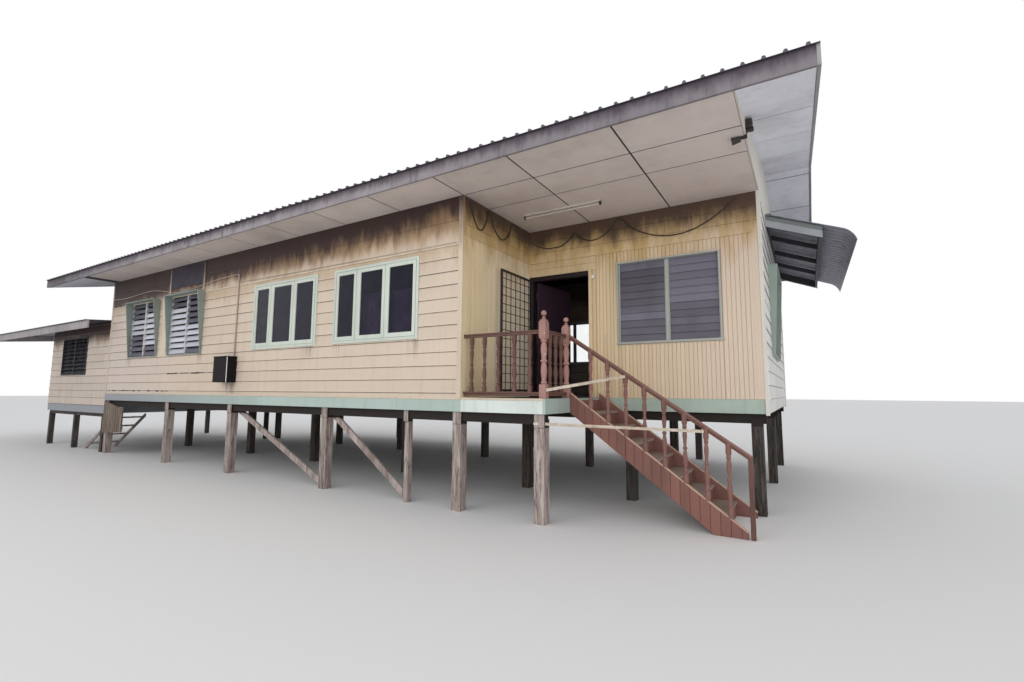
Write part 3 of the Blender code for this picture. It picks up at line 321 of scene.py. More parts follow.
def glassMaterial(name, tone, rough=0.03):
    material, tree, shader, place = startMaterial(name)
    dust = noise(tree, place, 3.0, 6, 0.6)
    color = mixColor(tree, mapRange(tree, dust, 0.4, 0.8), (*tone, 1), (*[min(1, t * 1.5) for t in tone], 1))
    shader.inputs["Transmission Weight"].default_value = 1.0
    shader.inputs["IOR"].default_value = 1.45
    shader.inputs["Specular Tint"].default_value = (0.28, 0.28, 0.42, 1)
    level = mapRange(tree, dust, 0.3, 0.8, rough, rough * 4)
    finishMaterial(tree, shader, color, level, dust, 0.0004, 0.2)
    return material


def metalMaterial(name, base, rust, amount, rough=0.5, metallic=0.6, scale=5.0):
    material, tree, shader, place = startMaterial(name)
    spots = noise(tree, place, scale, 8, 0.7)
    runs = noise(tree, place, 1.0, 6, 0.65, stretch=(14, 1.2, 1.2))
    mask = times(tree, mapRange(tree, spots, 0.5, 0.72), amount)
    mask = plus(tree, mask, times(tree, mapRange(tree, runs, 0.5, 0.75), amount * 0.6), clamp=True)
    lighter = mixColor(tree, noise(tree, place, 30, 4), (*base, 1), (*[b * 1.35 for b in base], 1))
    color = mixColor(tree, mask, lighter, (*rust, 1))
    shader.inputs["Metallic"].default_value = metallic
    finishMaterial(tree, shader, color, plus(tree, times(tree, mask, 0.3), rough, clamp=True), spots, 0.001, 0.3)
    return material


paints = {
    "longWall": ((0.685, 0.565, 0.45), (0.2, 0.13, 0.1), (0.3, 0.22, 0.15)),
    "porch": ((0.76, 0.6, 0.39), (0.3, 0.18, 0.08), (0.3, 0.2, 0.1)),
    "white": ((0.74, 0.73, 0.7), (0.3, 0.27, 0.24), (0.35, 0.3, 0.24)),
    "mint": ((0.45, 0.55, 0.5), (0.2, 0.2, 0.18), (0.4, 0.36, 0.3)),
}
# a near-black mould tone, also used as painted shade at the top of the annexe wall
moldAndShadeTone = (0.035, 0.018, 0.02)
brown = (0.2, 0.115, 0.06)

plainPaints = {  # name, paint, dirt, bare timber, then patches, streaks, chips, tint, a seed and the shine
    "plainTrim": ("pipeTrim", (0.5, 0.41, 0.32), (0.12, 0.08, 0.06), (0.3, 0.25, 0.2), 0.3, 0.3, 0.1, 0.1),
    "darkBoard": ("darkBoard", (0.035, 0.028, 0.045), (0.02, 0.014, 0.015), (0.1, 0.07, 0.06), 0.5, 0.4),
    "whiteTrim": ("whiteTrim", (0.74, 0.71, 0.64), *paints["white"][1:], 0.25, 0.3, 0.12, 0.08, 32),
    "bandPale": ("paleBand", (0.76, 0.82, 0.78), *paints["mint"][1:], 0.2, 0.2, 0.12, 0.1, 22),
    "bandGreen": ("greenBand", (0.42, 0.51, 0.44), *paints["mint"][1:], 0.25, 0.2, 0.12, 0.1, 23),
    "windowGreen": ("paleGreenFrames", (0.46, 0.475, 0.44), (0.12, 0.13, 0.1), (0.35, 0.3, 0.24), 0.15, 0.2, 0.2, 0.1,
                    7),
    "casementGreen": ("casementGreen", (0.62, 0.67, 0.59), (0.14, 0.15, 0.12), (0.35, 0.3, 0.24), 0.15, 0.2, 0.2, 0.1,
                      36),
    "paleFrame": ("whiteMidPost", (0.6, 0.6, 0.6), (0.2, 0.2, 0.2), (0.35, 0.3, 0.24), 0.3, 0.3, 0.1),
    "annexeFrame": ("darkSlats", (0.024, 0.025, 0.03), (0.02, 0.02, 0.02), (0.2, 0.17, 0.14), 0.3, 0.3, 0.1),
    "louvreGreen": ("greyGreenBoxes", (0.27, 0.315, 0.285), (0.05, 0.06, 0.05), (0.3, 0.27, 0.22), 0.4, 0.35, 0.18, 0.2,
                    8),
    "annexeFascia": ("annexeFascia", (0.4, 0.37, 0.37), (0.12, 0.1, 0.1), (0.25, 0.2, 0.18), 0.4, 0.4, 0.15, 0.1, 33),
    "bargeBoard": ("dirtyBargeBoard", (0.36, 0.35, 0.36), (0.08, 0.065, 0.07), (0.25, 0.2, 0.18), 0.5, 0.5, 0.2, 0.1,
                   24),
    "verge": ("vergePanels", (0.84, 0.85, 0.93), (0.26, 0.24, 0.25), (0.3, 0.27, 0.24), 0.35, 0.2, 0.05, 0.1, 11),
    "awningBoard": ("awningBoard", (0.42, 0.44, 0.46), (0.1, 0.1, 0.1), (0.25, 0.2, 0.18), 0.4, 0.3, 0.1),
    "awningEdge": ("awningEdge", (0.2, 0.225, 0.22), (0.15, 0.15, 0.15), (0.3, 0.25, 0.2), 0.3, 0.3, 0.1),
    # painted shade: the rafters under the awning sheet are painted near black for the shadow they sit in
    "awningWood": ("darkRafters", (0.045, 0.04, 0.05), (0.02, 0.02, 0.02), (0.1, 0.08, 0.07), 0.4, 0.3, 0.1),
    "boxGreen": ("paleGreenBox", (0.34, 0.41, 0.36), (0.15, 0.17, 0.14), (0.35, 0.3, 0.24), 0.25, 0.3, 0.1),
    "stairRed": ("wornStairPaint", (0.15, 0.075, 0.058), (0.045, 0.024, 0.02), (0.42, 0.27, 0.22), 0.45, 0.3, 0.4, 0.2,
                 12),
    "stairClad": ("stringerBoards", (0.235, 0.108, 0.088), (0.09, 0.045, 0.04), (0.42, 0.27, 0.22), 0.4, 0.4, 0.3, 0.2,
                  25),
    "newelPaint": ("newelPaint", (0.4, 0.22, 0.185), (0.1, 0.05, 0.045), (0.6, 0.47, 0.4), 0.45, 0.3, 0.55, 0.14, 26),
    # the stair balusters' paint, also a painted highlight on the top board of the stair rail
    "balusterPaint": ("balusterPaint", (0.25, 0.125, 0.1), (0.07, 0.035, 0.03), (0.55, 0.42, 0.36), 0.5, 0.3, 0.5, 0.16,
                      35),
    "stairEdge": ("wornStairEdges", (0.55, 0.38, 0.28), (0.2, 0.1, 0.07), (0.6, 0.48, 0.36), 0.4, 0.2, 0.5, 0.1, 13),
    "tread": ("wornTreads", (0.34, 0.26, 0.22), (0.1, 0.06, 0.05), (0.42, 0.36, 0.3), 0.5, 0.1, 0.6, 0.1, 14),
    "door": ("doorGloss", (0.06, 0.03, 0.052), (0.05, 0.03, 0.03), (0.1, 0.05, 0.04), 0.3, 0.2, 0.05, 0.1, 15, 0.5),
    "doorFrame": ("doorFramePaint", (0.016, 0.009, 0.01), (0.02, 0.012, 0.01), (0.2, 0.12, 0.08), 0.3, 0.3, 0.15, 0.1,
                  16),
    "meterBoard": ("darkCupboard", (0.012, 0.009, 0.012), (0.03, 0.02, 0.02), (0.1, 0.07, 0.05), 0.4, 0.3, 0.1, 0.1, 27,
                   0.1),
    "lampCover": ("dustyLamp", (0.6, 0.56, 0.52), (0.3, 0.25, 0.2), (0.4, 0.35, 0.3), 0.3, 0.2, 0.0, 0.1, 31),
    "louvreGlass": ("darkBlades", (0.11, 0.105, 0.14), (0.04, 0.035, 0.05), (0.2, 0.2, 0.24), 0.4, 0.2, 0.0, 0.5, 28,
                    0.6),
    # painted reflection: a pale sky colour for blades whose glass reflects the sky
    "skyReflectionBlades": ("paleBlades", (0.62, 0.63, 0.7), (0.2, 0.2, 0.25), (0.5, 0.5, 0.55), 0.3, 0.2, 0.0, 0.3, 29, 0.6),
    "porchBlades": ("dustyBlades", (0.14, 0.13, 0.17), (0.06, 0.055, 0.07), (0.2, 0.2, 0.24), 0.6, 0.2, 0.0, 0.8, 30,
                    0.6),
    "curtainBrown": ("brownCurtain", (0.42, 0.3, 0.26), (0.12, 0.08, 0.08), (0.5, 0.42, 0.36), 0.8, 0.7, 0.2, 0.1, 20),
    "curtainPale": ("paleCurtain", (0.5, 0.46, 0.5), (0.25, 0.2, 0.24), (0.6, 0.55, 0.5), 0.4, 0.6, 0.1, 0.1, 21),
}
looks = {key: paintMaterial(*values) for key, values in plainPaints.items()} | {
    "longWall": paintMaterial(
        "creamLapBoards", *paints["longWall"], patches=0.1, streaks=0.14, chips=0.05, tint=0.07, seed=1,
        seams=(2, 0.19, 1.565, 0.009, 0.85),
        shifts=(((0.62, 0.53, 0.5), 0, -6.5, -11.5, 0.6),),
        stains=(((0.42, 0.28, 0.14), 3.2, 3.75, 0.5, 2.6, 0.55, 2.0), (moldAndShadeTone, 3.75, 4.3, 0.28, 1.1, 0.65, 5.0)),
        drips=((-5.72, -5.32, 1.76, 0.36, 0.85, 1.0), (-3.4, -3.0, 2.36, 0.3, 0.4, 2.0),
               (-0.95, -0.66, 2.36, 0.35, 0.4, 3.0), (-2.6, -2.3, 2.36, 0.26, 0.35, 4.0),
               (-6.9, -6.6, 2.36, 0.3, 0.4, 5.0), (-10.2, -9.9, 2.36, 0.3, 0.35, 6.0)),
        cracks=((-8.1, -6.0, 1.947, 0.012, 0.03, 1.0), (-11.06, -8.0, 1.563, 0.012, 0.02, 4.0)),
    ),
    "longWallDark": paintMaterial(
        "mouldyTopBoards", *paints["longWall"], patches=0.2, streaks=0.4, chips=0.12, tint=0.22, seed=3,
        stains=(((0.38, 0.24, 0.11), 3.6, 3.95, 0.4, 2.4, 0.75, 2.0), (brown, 3.7, 4.15, 0.45, 3.0, 0.8, 2.0, 0.03),
                (moldAndShadeTone, 3.86, 4.32, 0.55, 2.3, 0.94, 8.0, 0.045)),
    ),
    "trim": paintMaterial(
        "creamTrim", (0.67, 0.565, 0.445), *paints["longWall"][1:], patches=0.2, streaks=0.25, chips=0.2,
        stains=((brown, 3.5, 4.1, 0.5, 2.4, 0.6, 2.0), (moldAndShadeTone, 3.9, 4.4, 0.5, 2.0, 0.8, 8.0)),
    ),
    "porch": paintMaterial(
        "yellowBeadBoards", *paints["porch"], patches=0.12, streaks=0.2, chips=0.03, tint=0.14, seed=4,
        shifts=(((0.75, 0.62, 0.52), 0, 1.3, 3.6, 0.75),),
        stains=(((0.5, 0.32, 0.09), 3.2, 4.1, 0.5, 2.2, 0.7, 1.0), (brown, 3.7, 4.3, 0.55, 3.0, 0.6, 9.0),
                (moldAndShadeTone, 3.84, 4.33, 0.5, 1.8, 0.84, 6.0, -0.02)),
    ),
    # painted light: the return wall takes a lighter copy of the porch paint, paler still from y 0.1 to 1.3, standing in
    # for light it lacks beside the porch
    "porchReturn": paintMaterial(
        "paintedLightReturnBoards", (0.93, 0.76, 0.49), *paints["porch"][1:], patches=0.12, streaks=0.2, chips=0.03, tint=0.14,
        seed=34, shifts=(((0.93, 0.8, 0.63), 1, 0.1, 1.3, 0.85),),
        stains=(((0.5, 0.32, 0.09), 3.2, 4.1, 0.5, 2.2, 0.7, 1.0), (brown, 3.7, 4.3, 0.55, 3.0, 0.6, 9.0)),
    ),
    "white": paintMaterial(
        "whiteLapBoards", *paints["white"], patches=0.25, streaks=0.3, chips=0.12, tint=0.08, seed=5,
        seams=(2, 0.19, 1.51, 0.008, 0.7), stains=((moldAndShadeTone, 3.9, 5.2, 0.4, 1.5, 0.35, 1.0),),
    ),
    "mint": paintMaterial("mintBand", *paints["mint"], patches=0.2, streaks=0.2, chips=0.12, tint=0.1, seed=6,
                          shifts=(((0.3, 0.31, 0.34), 0, -4.0, -11.0, 0.95),)),
    "fascia": paintMaterial(
        "dirtyFascia", (0.34, 0.31, 0.325), (0.09, 0.07, 0.085), (0.25, 0.2, 0.18), 0.6, 0.75, 0.2, 0.1, 9,
        shifts=(((0.1, 0.085, 0.1), 0, -7.0, -13.4, 0.85), ((0.16, 0.145, 0.16), 0, -1.5, 3.0, 0.6)),
        stains=(((0.055, 0.038, 0.055), 4.33, 4.52, 0.35, 3.5, 0.9, 3.0),),
    ),
    "soffit": paintMaterial(
        "soffitPanels", (0.72, 0.635, 0.6), (0.26, 0.2, 0.17), (0.3, 0.25, 0.2), 0.35, 0.1, 0.03, 0.08, 10,
        shifts=(((0.36, 0.32, 0.33), 0, -9.0, -13.0, 0.7),),
    ),
    # painted shade and stain: the top of the annexe wall, in shadow under its eave, darkens through brown and mould
    # tones
    "annexe": paintMaterial(
        "annexeBoards", (0.63, 0.53, 0.45), (0.2, 0.14, 0.11), (0.3, 0.22, 0.15), 0.2, 0.3, 0.08, 0.12, 17,
        seams=(2, 0.19, 1.18, 0.009, 0.8),
        stains=((brown, 2.6, 3.1, 0.5, 1.6, 0.7, 1.0), (moldAndShadeTone, 2.8, 3.12, 0.4, 1.4, 0.92, 3.0)),
    ),
    # painted shade: the posts' timber turns near black above 1.165, where the bearers sit in shadow under the band
    "post": timberMaterial("weatheredPosts", (0.55, 0.47, 0.43), (0.22, 0.165, 0.145), "z", 0.6, 1.0, paintedShadeAbove=1.165),
    "postHead": timberMaterial("postHeads", (0.55, 0.47, 0.43), (0.22, 0.165, 0.145), "z", 0.6, 1.0),
    "rearPost": timberMaterial("shadedPosts", (0.13, 0.11, 0.1), (0.03, 0.025, 0.02), "z", 0.8, 6.0, paintedShadeAbove=1.165),
    # painted shade: the floor bearers under the band get near-black timber colours for the shadow they sit in
    "beamX": timberMaterial("paintedShadeBeams", (0.06, 0.05, 0.045), (0.02, 0.016, 0.014), "x", 0.5, 2.0),
    "paleWood": timberMaterial("paleBatten", (0.72, 0.64, 0.54), (0.5, 0.4, 0.3), "x", 0.3, 4.0),
    "slats": timberMaterial("greySlats", (0.33, 0.27, 0.22), (0.12, 0.09, 0.07), "z", 0.6, 5.0),
    "roof": metalMaterial("darkRoofSheet", (0.075, 0.072, 0.09), (0.06, 0.035, 0.03), 0.5, 0.5, 0.3),
    "awning": metalMaterial("awningSheet", (0.22, 0.22, 0.265), (0.08, 0.065, 0.07), 0.4, 0.5, 0.2),
    "iron": metalMaterial("paintedIron", (0.02, 0.02, 0.022), (0.09, 0.035, 0.015), 0.5, 0.5, 0.2, 20),
    "plastic": metalMaterial("darkCableCover", (0.025, 0.018, 0.016), (0.06, 0.045, 0.03), 0.4, 0.5, 0.0, 9),
    "whitePlastic": metalMaterial("whiteCover", (0.72, 0.72, 0.68), (0.4, 0.36, 0.3), 0.3, 0.4, 0.0, 9),
    "glass": glassMaterial("windowGlass", (0.22, 0.21, 0.34)),
    "clearGlass": glassMaterial("clearGlass", (0.9, 0.92, 0.93)),
}
print("materials ready:", len(looks))


def startShape():
    shape = bmesh.new()
    shape.faces.layers.float.new("boardTint")
    return shape


def tintFaces(shape, verts, tint):
    layer = shape.faces.layers.float["boardTint"]
    for face in {f for v in verts for f in v.link_faces}:
        face[layer] = tint


def addBoard(shape, low, high, tint=None, index=0):  # a box between two corners
    low, high = Vector(low), Vector(high)
    place = Matrix.Translation((low + high) / 2) @ Matrix.Diagonal((*(high - low), 1))
    verts = bmesh.ops.create_cube(shape, size=1, matrix=place)["verts"]
    tintFaces(shape, verts, random.random() if tint is None else tint)
    for face in {f for v in verts for f in v.link_faces}:
        face.material_index = index
    return verts


def softenEdges(shape, verts, width, segments=1):
    edges = {e for v in verts for e in v.link_edges}
    bmesh.ops.bevel(shape, geom=list(edges), offset=width, segments=segments, profile=0.5, affect="EDGES", material=-1)


def softBoard(shape, low, high, width=0.003, tint=None, index=0, segments=1):
    softenEdges(shape, addBoard(shape, low, high, tint, index), width, segments)


def softBoards(shape, boards, width=0.003, tint=None):
    for low, high in boards:
        softBoard(shape, low, high, width, tint)


def joinShape(shape, other, matrix=Matrix()):  # adds other, moved by matrix, to shape
    bmesh.ops.transform(other, matrix=matrix, verts=other.verts)
    passing = bpy.data.meshes.new("passing")
    other.to_mesh(passing)
    other.free()
    shape.from_mesh(passing)
    bpy.data.meshes.remove(passing)


def finishPiece(name, shape, materials, body="house", replaces=(), smooth=False, matrix=None):
    if matrix:
        bmesh.ops.transform(shape, matrix=matrix, verts=shape.verts)
    bmesh.ops.recalc_face_normals(shape, faces=shape.faces)
    mesh = bpy.data.meshes.new(name)
    shape.to_mesh(mesh)
    shape.free()
    obj = bpy.data.objects.new(name, mesh)
    bpy.context.scene.collection.objects.link(obj)
    for key in materials:
        mesh.materials.append(looks[key])
    if smooth:
        mesh.polygons.foreach_set("use_smooth", [True] * len(mesh.polygons))
        mesh.set_sharp_from_angle(angle=math.radians(40))
    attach(obj, body)
    if replaces:
        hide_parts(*replaces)
    return obj


def wallFrame(x, y, turn=0):  # local x runs along the wall, y up, z out of it; turn 0 faces -Y, 90 faces +X
    facing = Matrix(((1, 0, 0, 0), (0, 0, -1, 0), (0, 1, 0, 0), (0, 0, 0, 1)))
    return Matrix.Translation((x, y, 0)) @ Matrix.Rotation(math.radians(turn), 4, "Z") @ facing


def lineFrame(start, end):  # local x runs from start to end, z as nearly up as it can; and the distance
    start, along = Vector(start), Vector(end) - Vector(start)
    side = along.cross(Vector((0, 0, 1))).normalized()
    turn = Matrix((along.normalized(), side, side.cross(along).normalized())).transposed().to_4x4()
    return Matrix.Translation(start) @ turn, along.length


def freeSpans(start, end, blocked):  # what is left of a span outside the blocked ones
    spans = [(start, end)]
    for low, high in blocked:
        spans = [part for a, b in spans for part in ((a, min(b, low)), (max(a, high), b)) if part[1] - part[0] > 0.004]
    return spans


def boardWall(shape, matrix, left, right, low, high, pitch, holes=(), foot=0.014, head=0.004, gap=0.0, length=3.9,
              bevel=0.0, upright=False, start=None):
    # courses of boards over a rectangle, less the holes (left, right, low, high); upright turns the courses on end
    if upright:
        left, right, low, high = low, high, left, right
        holes = [(h[2], h[3], h[0], h[1]) for h in holes]
    across = 0 if upright else 1
    panel = startShape()
    level = low if start is None else start
    row = 0
    while level < high - 0.003:
        bottom, top = max(level, low), min(level + pitch, high)
        cuts = sorted({bottom, top} | {z for h in holes for z in h[2:] if bottom < z < top})
        shift = (row * 0.37 % 1) * length
        for a, b in zip(cuts, cuts[1:]):
            if b - a < 0.003:
                continue
            thick, thin = (foot + (head - foot) * (z - level) / pitch for z in (a, b))
            blocked = [(h[0], h[1]) for h in holes if h[2] < (a + b) / 2 < h[3]]
            for spanLeft, spanRight in freeSpans(left, right, blocked):
                joints = [spanLeft]
                place = left + shift
                while place < spanRight - 0.4:
                    if place > spanLeft + 0.4:
                        joints.append(place)
                    place += length
                joints.append(spanRight)
                for first, last in zip(joints, joints[1:]):
                    corners = ((first + 0.001, a + gap / 2, 0), (last - 0.001, b - gap / 2, thick))
                    if upright:
                        corners = tuple((c[1], c[0], c[2]) for c in corners)
                    verts = addBoard(panel, *corners)
                    if head != foot:
                        for vert in verts:
                            if vert.co.z > 0.0005 and vert.co[across] > (a + b) / 2:
                                vert.co.z = thin
                    if bevel:  # only the two long edges that show
                        edges = {e for v in verts for e in v.link_edges if all(w.co.z > 0.001 for w in e.verts)}
                        outer = [e for e in edges if abs(e.verts[0].co[across] - e.verts[1].co[across]) < 0.001]
                        bmesh.ops.bevel(panel, geom=outer, offset=bevel, segments=1, profile=0.5, affect="EDGES",
                                        material=-1)
        level += pitch
        row += 1
    joinShape(shape, panel, matrix)


house = {"floorTop": 1.51, "eave": 4.36, "depth": 7.3, "course": 0.19, "bandFoot": 1.32,
         "slope": 0.215, "ridge": 3.6, "ridgeHeight": 5.4746}
floorTop, eave, course = house["floorTop"], house["eave"], house["course"]


def cutShape(shape, point, normal):  # takes away what lies on the normal's side of a plane, and closes the cut
    geometry = list(shape.verts) + list(shape.edges) + list(shape.faces)
    cut = bmesh.ops.bisect_plane(shape, geom=geometry, plane_co=point, plane_no=normal.normalized(), clear_outer=True)
    edges = [e for e in cut["geom_cut"] if isinstance(e, bmesh.types.BMEdge)]
    bmesh.ops.holes_fill(shape, edges=edges, sides=0)


def clipRoof(shape, drop):  # cuts everything above the two roof slopes, lowered by drop
    for side in (-1, 1):
        cutShape(shape, (0, house["ridge"], house["ridgeHeight"] - drop), Vector((0, side * house["slope"], 1)))


def nodeRect(name, axis=0):  # the rectangle that a node covers on a wall: left, right, low, high
    low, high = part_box(name)
    return low[axis], high[axis], low.z, high.z


rightEnd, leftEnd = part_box("right_end_wall")[1].x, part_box("left_end_wall")[0].x
longFace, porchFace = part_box("front_wall")[0].y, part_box("porch_wall")[0].y

longWall = {"courseStart": 1.565, "flatFrom": 3.66, "corner": 0.065, "darkPanel": (-8.19, -6.75)}


def makeLongWall():
    low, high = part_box("front_wall")
    matrix = wallFrame(0, longFace)
    windows = [nodeRect(n) for n in ("casement_window_1", "casement_window_2", "louvre_window_1", "louvre_window_2")]
    start, corner, flat = leftEnd + 0.05, high.x - longWall["corner"], longWall["flatFrom"]
    shape = startShape()
    boardWall(shape, matrix, start, corner, low.z, flat, course, windows, start=longWall["courseStart"] - course,
              length=4.3)
    finishPiece("long_wall_boards", shape, ["longWall"])
    shape = startShape()
    boardWall(shape, matrix, start, corner, flat, eave, 0.345, windows, foot=0.012, head=0.01, length=2.2, gap=0.003)
    finishPiece("long_wall_top_boards", shape, ["longWallDark"])
    between = (windows[2][1] + windows[3][0]) / 2
    panel = longWall["darkPanel"]
    shape = startShape()
    softBoards(shape, [
        ((corner, low.z - 0.01, 0), (high.x + 0.014, eave, 0.024)),
        ((leftEnd - 0.01, low.z, 0), (start, eave, 0.02)),
        ((leftEnd, flat - 0.012, 0.01), (corner, flat + 0.014, 0.02)),
        ((between - 0.14, 2.33, 0.012), (between + 0.14, flat, 0.02)),
    ])
    softBoard(shape, (panel[0], 3.86, 0.01), (panel[1], 4.35, 0.022), index=1)
    softBoards(shape, [((x - 0.025, 3.7, 0.01), (x + 0.025, 4.35, 0.03)) for x in panel])
    finishPiece("long_wall_trim", shape, ["trim", "darkBoard"], matrix=matrix)
    print("long wall boarded")


makeLongWall()


def makeEndWalls():
    low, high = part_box("right_end_wall")
    depth = house["depth"]
    matrix = wallFrame(rightEnd, 0, 90)
    shape = startShape()
    holes = [nodeRect("end_window_box", 1), (*nodeRect("awning_frame", 1)[:2], 4.1, 4.37)]
    boardWall(shape, matrix, porchFace - 0.01, depth, floorTop, eave, course, holes, foot=0.016)
    for start, end in ((low.y + 0.01, 2.43), (2.434, 4.87), (4.874, high.y - 0.01)):  # plain sheets fill the gable
        addBoard(shape, (rightEnd, start, eave + 0.002), (rightEnd + 0.008, end, 5.6), index=1)
    clipRoof(shape, 0.17)
    finishPiece("right_end_boards", shape, ["white", "whiteTrim"])
    shape = startShape()
    softBoard(shape, (porchFace - 0.024, 1.3, -0.035), (porchFace + 0.03, eave, 0.012))
    level = floorTop
    while level < 4.3:  # each lapped board's end stands out a little at its foot
        verts = addBoard(shape, (porchFace - 0.02, level, 0), (porchFace + 0.034, level + course - 0.004, 0.03))
        for vert in verts:
            if vert.co.z > 0.02 and vert.co.y > level + 0.1:
                vert.co.z = 0.014
        level += course
    softBoard(shape, (depth - 0.05, 1.3, 0), (depth + 0.02, eave, 0.026))
    bmesh.ops.transform(shape, matrix=matrix, verts=shape.verts)
    for start, end in ((3.545, 3.588), (3.59, 3.631)):
        softBoard(shape, (start, porchFace - 0.014, floorTop), (end, porchFace, eave), index=1)
    finishPiece("right_end_trim", shape, ["whiteTrim", "porch"])
    matrix = wallFrame(leftEnd, 0, 270)
    shape = startShape()
    annexe = (-4.5, -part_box("annexe_front_wall")[0].y, 1.18, 3.75)
    boardWall(shape, matrix, -depth, 0.1, floorTop, eave, course, [annexe])
    boardWall(shape, matrix, -high.y + 0.01, -low.y - 0.01, eave, 5.6, course)
    clipRoof(shape, 0.17)
    finishPiece("left_end_boards", shape, ["longWall"])
    shape = startShape()
    holes = [(-r[1], -r[0], r[2], r[3]) for r in (nodeRect(f"back_window_{n}") for n in (1, 2, 3))]
    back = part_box("back_wall")[1].y
    boardWall(shape, wallFrame(0, back, 180), -rightEnd, -leftEnd, floorTop, eave, course, holes)
    finishPiece("back_wall_boards", shape, ["longWall"])
    print("end walls boarded")


makeEndWalls()

porch = {"pitch": 0.058, "widePitch": 0.142, "boardTop": 3.78, "upper": (3.78, 3.95, 4.147, 4.36), "thick": 0.012,
         "overDoor": 1.31}


def makePorchWalls():
    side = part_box("porch_return_wall")[1].x
    doorLow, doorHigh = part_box("door_frame")
    thick, over, top = porch["thick"], porch["overDoor"], porch["boardTop"]
    beads = {"foot": thick, "head": thick, "bevel": 0.004, "upright": True, "length": 9}
    back, beside = wallFrame(0, porchFace), wallFrame(side, 0, 90)
    shape = startShape()
    boardWall(shape, back, doorHigh.x, rightEnd - 0.05, floorTop, top, porch["pitch"],
              [nodeRect("porch_window"), (0, over, doorHigh.z, 5)], gap=0.004, **beads)
    boardWall(shape, back, side + thick, doorLow.x, floorTop, top, porch["pitch"], gap=0.004, **beads)
    boardWall(shape, back, side + thick, over, doorHigh.z, top, 0.12, foot=thick, head=thick, gap=0.004, length=9)
    softBoard(shape, (doorHigh.x - 0.05, doorLow.y - 0.006, floorTop), (doorHigh.x + 0.002, porchFace, doorHigh.z))
    finishPiece("porch_bead_boards", shape, ["porch"])
    shape = startShape()
    boardWall(shape, beside, -0.03, porchFace, floorTop, top, porch["widePitch"], gap=0.008, **beads)
    softBoard(shape, (side, -0.118, floorTop), (side + 0.014, -0.03, eave))
    finishPiece("return_bead_boards", shape, ["porchReturn"])
    shape = startShape()
    for low, high in zip(porch["upper"], porch["upper"][1:]):
        wide = {"foot": 0.017, "head": 0.014, "gap": 0.004}
        boardWall(shape, back, side + 0.014, rightEnd - 0.002, low, high, high - low, length=2.3, **wide)
        boardWall(shape, beside, -0.1, porchFace - 0.016, low, high, high - low, length=5, **wide)
    finishPiece("porch_upper_boards", shape, ["porch"])
    print("porch boarded")


makePorchWalls()


def makeAnnexeBoards():
    low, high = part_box("annexe_front_wall")
    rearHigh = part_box("annexe_rear_walls")[1]
    shape = startShape()
    boardWall(shape, wallFrame(0, low.y), low.x, high.x - 0.003, low.z, high.z, course, [nodeRect("annexe_window")])
    boardWall(shape, wallFrame(low.x, 0, 270), -rearHigh.y, -low.y, low.z, high.z, course)
    boardWall(shape, wallFrame(0, rearHigh.y, 180), -high.x + 0.003, -low.x, low.z, 3.7, course)
    finishPiece("annexe_boards", shape, ["annexe"])
    print("annexe boarded")


makeAnnexeBoards()


def barRing(shape, left, right, bottom, top, side, foot, back, front, footFront, width=0.003, tint=None):
    # two uprights with a foot and a head between them
    softBoards(shape, [
        ((left, bottom, back), (left + side, top, front)), ((right - side, bottom, back), (right, top, front)),
        ((left + side, bottom, back), (right - side, bottom + foot, footFront)),
        ((left + side, top - side, back), (right - side, top, front)),
    ], width, tint)


def addSash(shape, left, right, bottom, top, stile, foot, face, lap):  # a sash in one tint, and its pane
    barRing(shape, left, right, bottom, top, stile, foot, face - 0.035, face, face, 0.0025, random.random())
    addBoard(shape, (left + stile - 0.004, bottom + stile - lap, face - 0.02),
             (right - stile + 0.004, top - stile + 0.004, face - 0.016), 0.5, index=1)


casement = {"frame": 0.045, "stile": 0.056, "proud": 0.028, "deep": 0.06,
            "splits": {"casement_window_1": (-4.325, -3.65), "casement_window_2": (-2.02, -1.38)}}


def makeCasements():
    f, stile, out, deep = (casement[key] for key in ("frame", "stile", "proud", "deep"))
    for name, splits in casement["splits"].items():
        left, right, bottom, top = nodeRect(name)
        shape = startShape()
        barRing(shape, left, right, bottom, top, f, f, -deep, out, out + 0.008)
        softBoards(shape, [((x - 0.024, bottom + f, -deep), (x + 0.024, top - f, out - 0.012)) for x in splits])
        edges = [left + f, *splits, right - f]
        for number, (start, end) in enumerate(zip(edges, edges[1:])):
            last = number == 2  # this one isn't pulled quite shut
            face = out - 0.004 + (0.008 if last else 0)
            addSash(shape, start + (0.024 if number else 0.006), end - (0.006 if last else 0.024),
                    bottom + f + 0.004, top - f - 0.004, stile, stile * 1.2, face, 0)
        finishPiece(name.replace("window", "sashes"), shape, ["casementGreen", "glass"], replaces=[name],
                    matrix=wallFrame(0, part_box(name)[0].y + 0.018))
    print("casements made")


makeCasements()

louvre = {"board": 0.02, "reach": 0.17, "footReach": 0.04, "blades": 10, "bladeWidth": 0.118,
          "tilt": -27, "glass": 0.005,
          # painted reflection: the blades listed under pale are painted a pale sky colour where the glass reflects the
          # sky
          "pale": {"louvre_window_1": ((4, 5, 6), (2, 3, 4, 5, 6, 7)),
                   "louvre_window_2": ((0, 1, 2, 3, 4, 5, 6, 7), (1, 2, 3, 4))}}


def hoodBox(shape, left, right, bottom, top, board, back, reach, foot):  # a head and sides that narrow to the foot
    for x in (left, right - board):
        verts = addBoard(shape, (x, bottom, back), (x + board, top, reach))
        for vert in verts:
            if vert.co.z > 0 and vert.co.y < (bottom + top) / 2:
                vert.co.z = foot
        softenEdges(shape, verts, 0.003)
    softBoard(shape, (left + board, top - board, back), (right - board, top, reach))


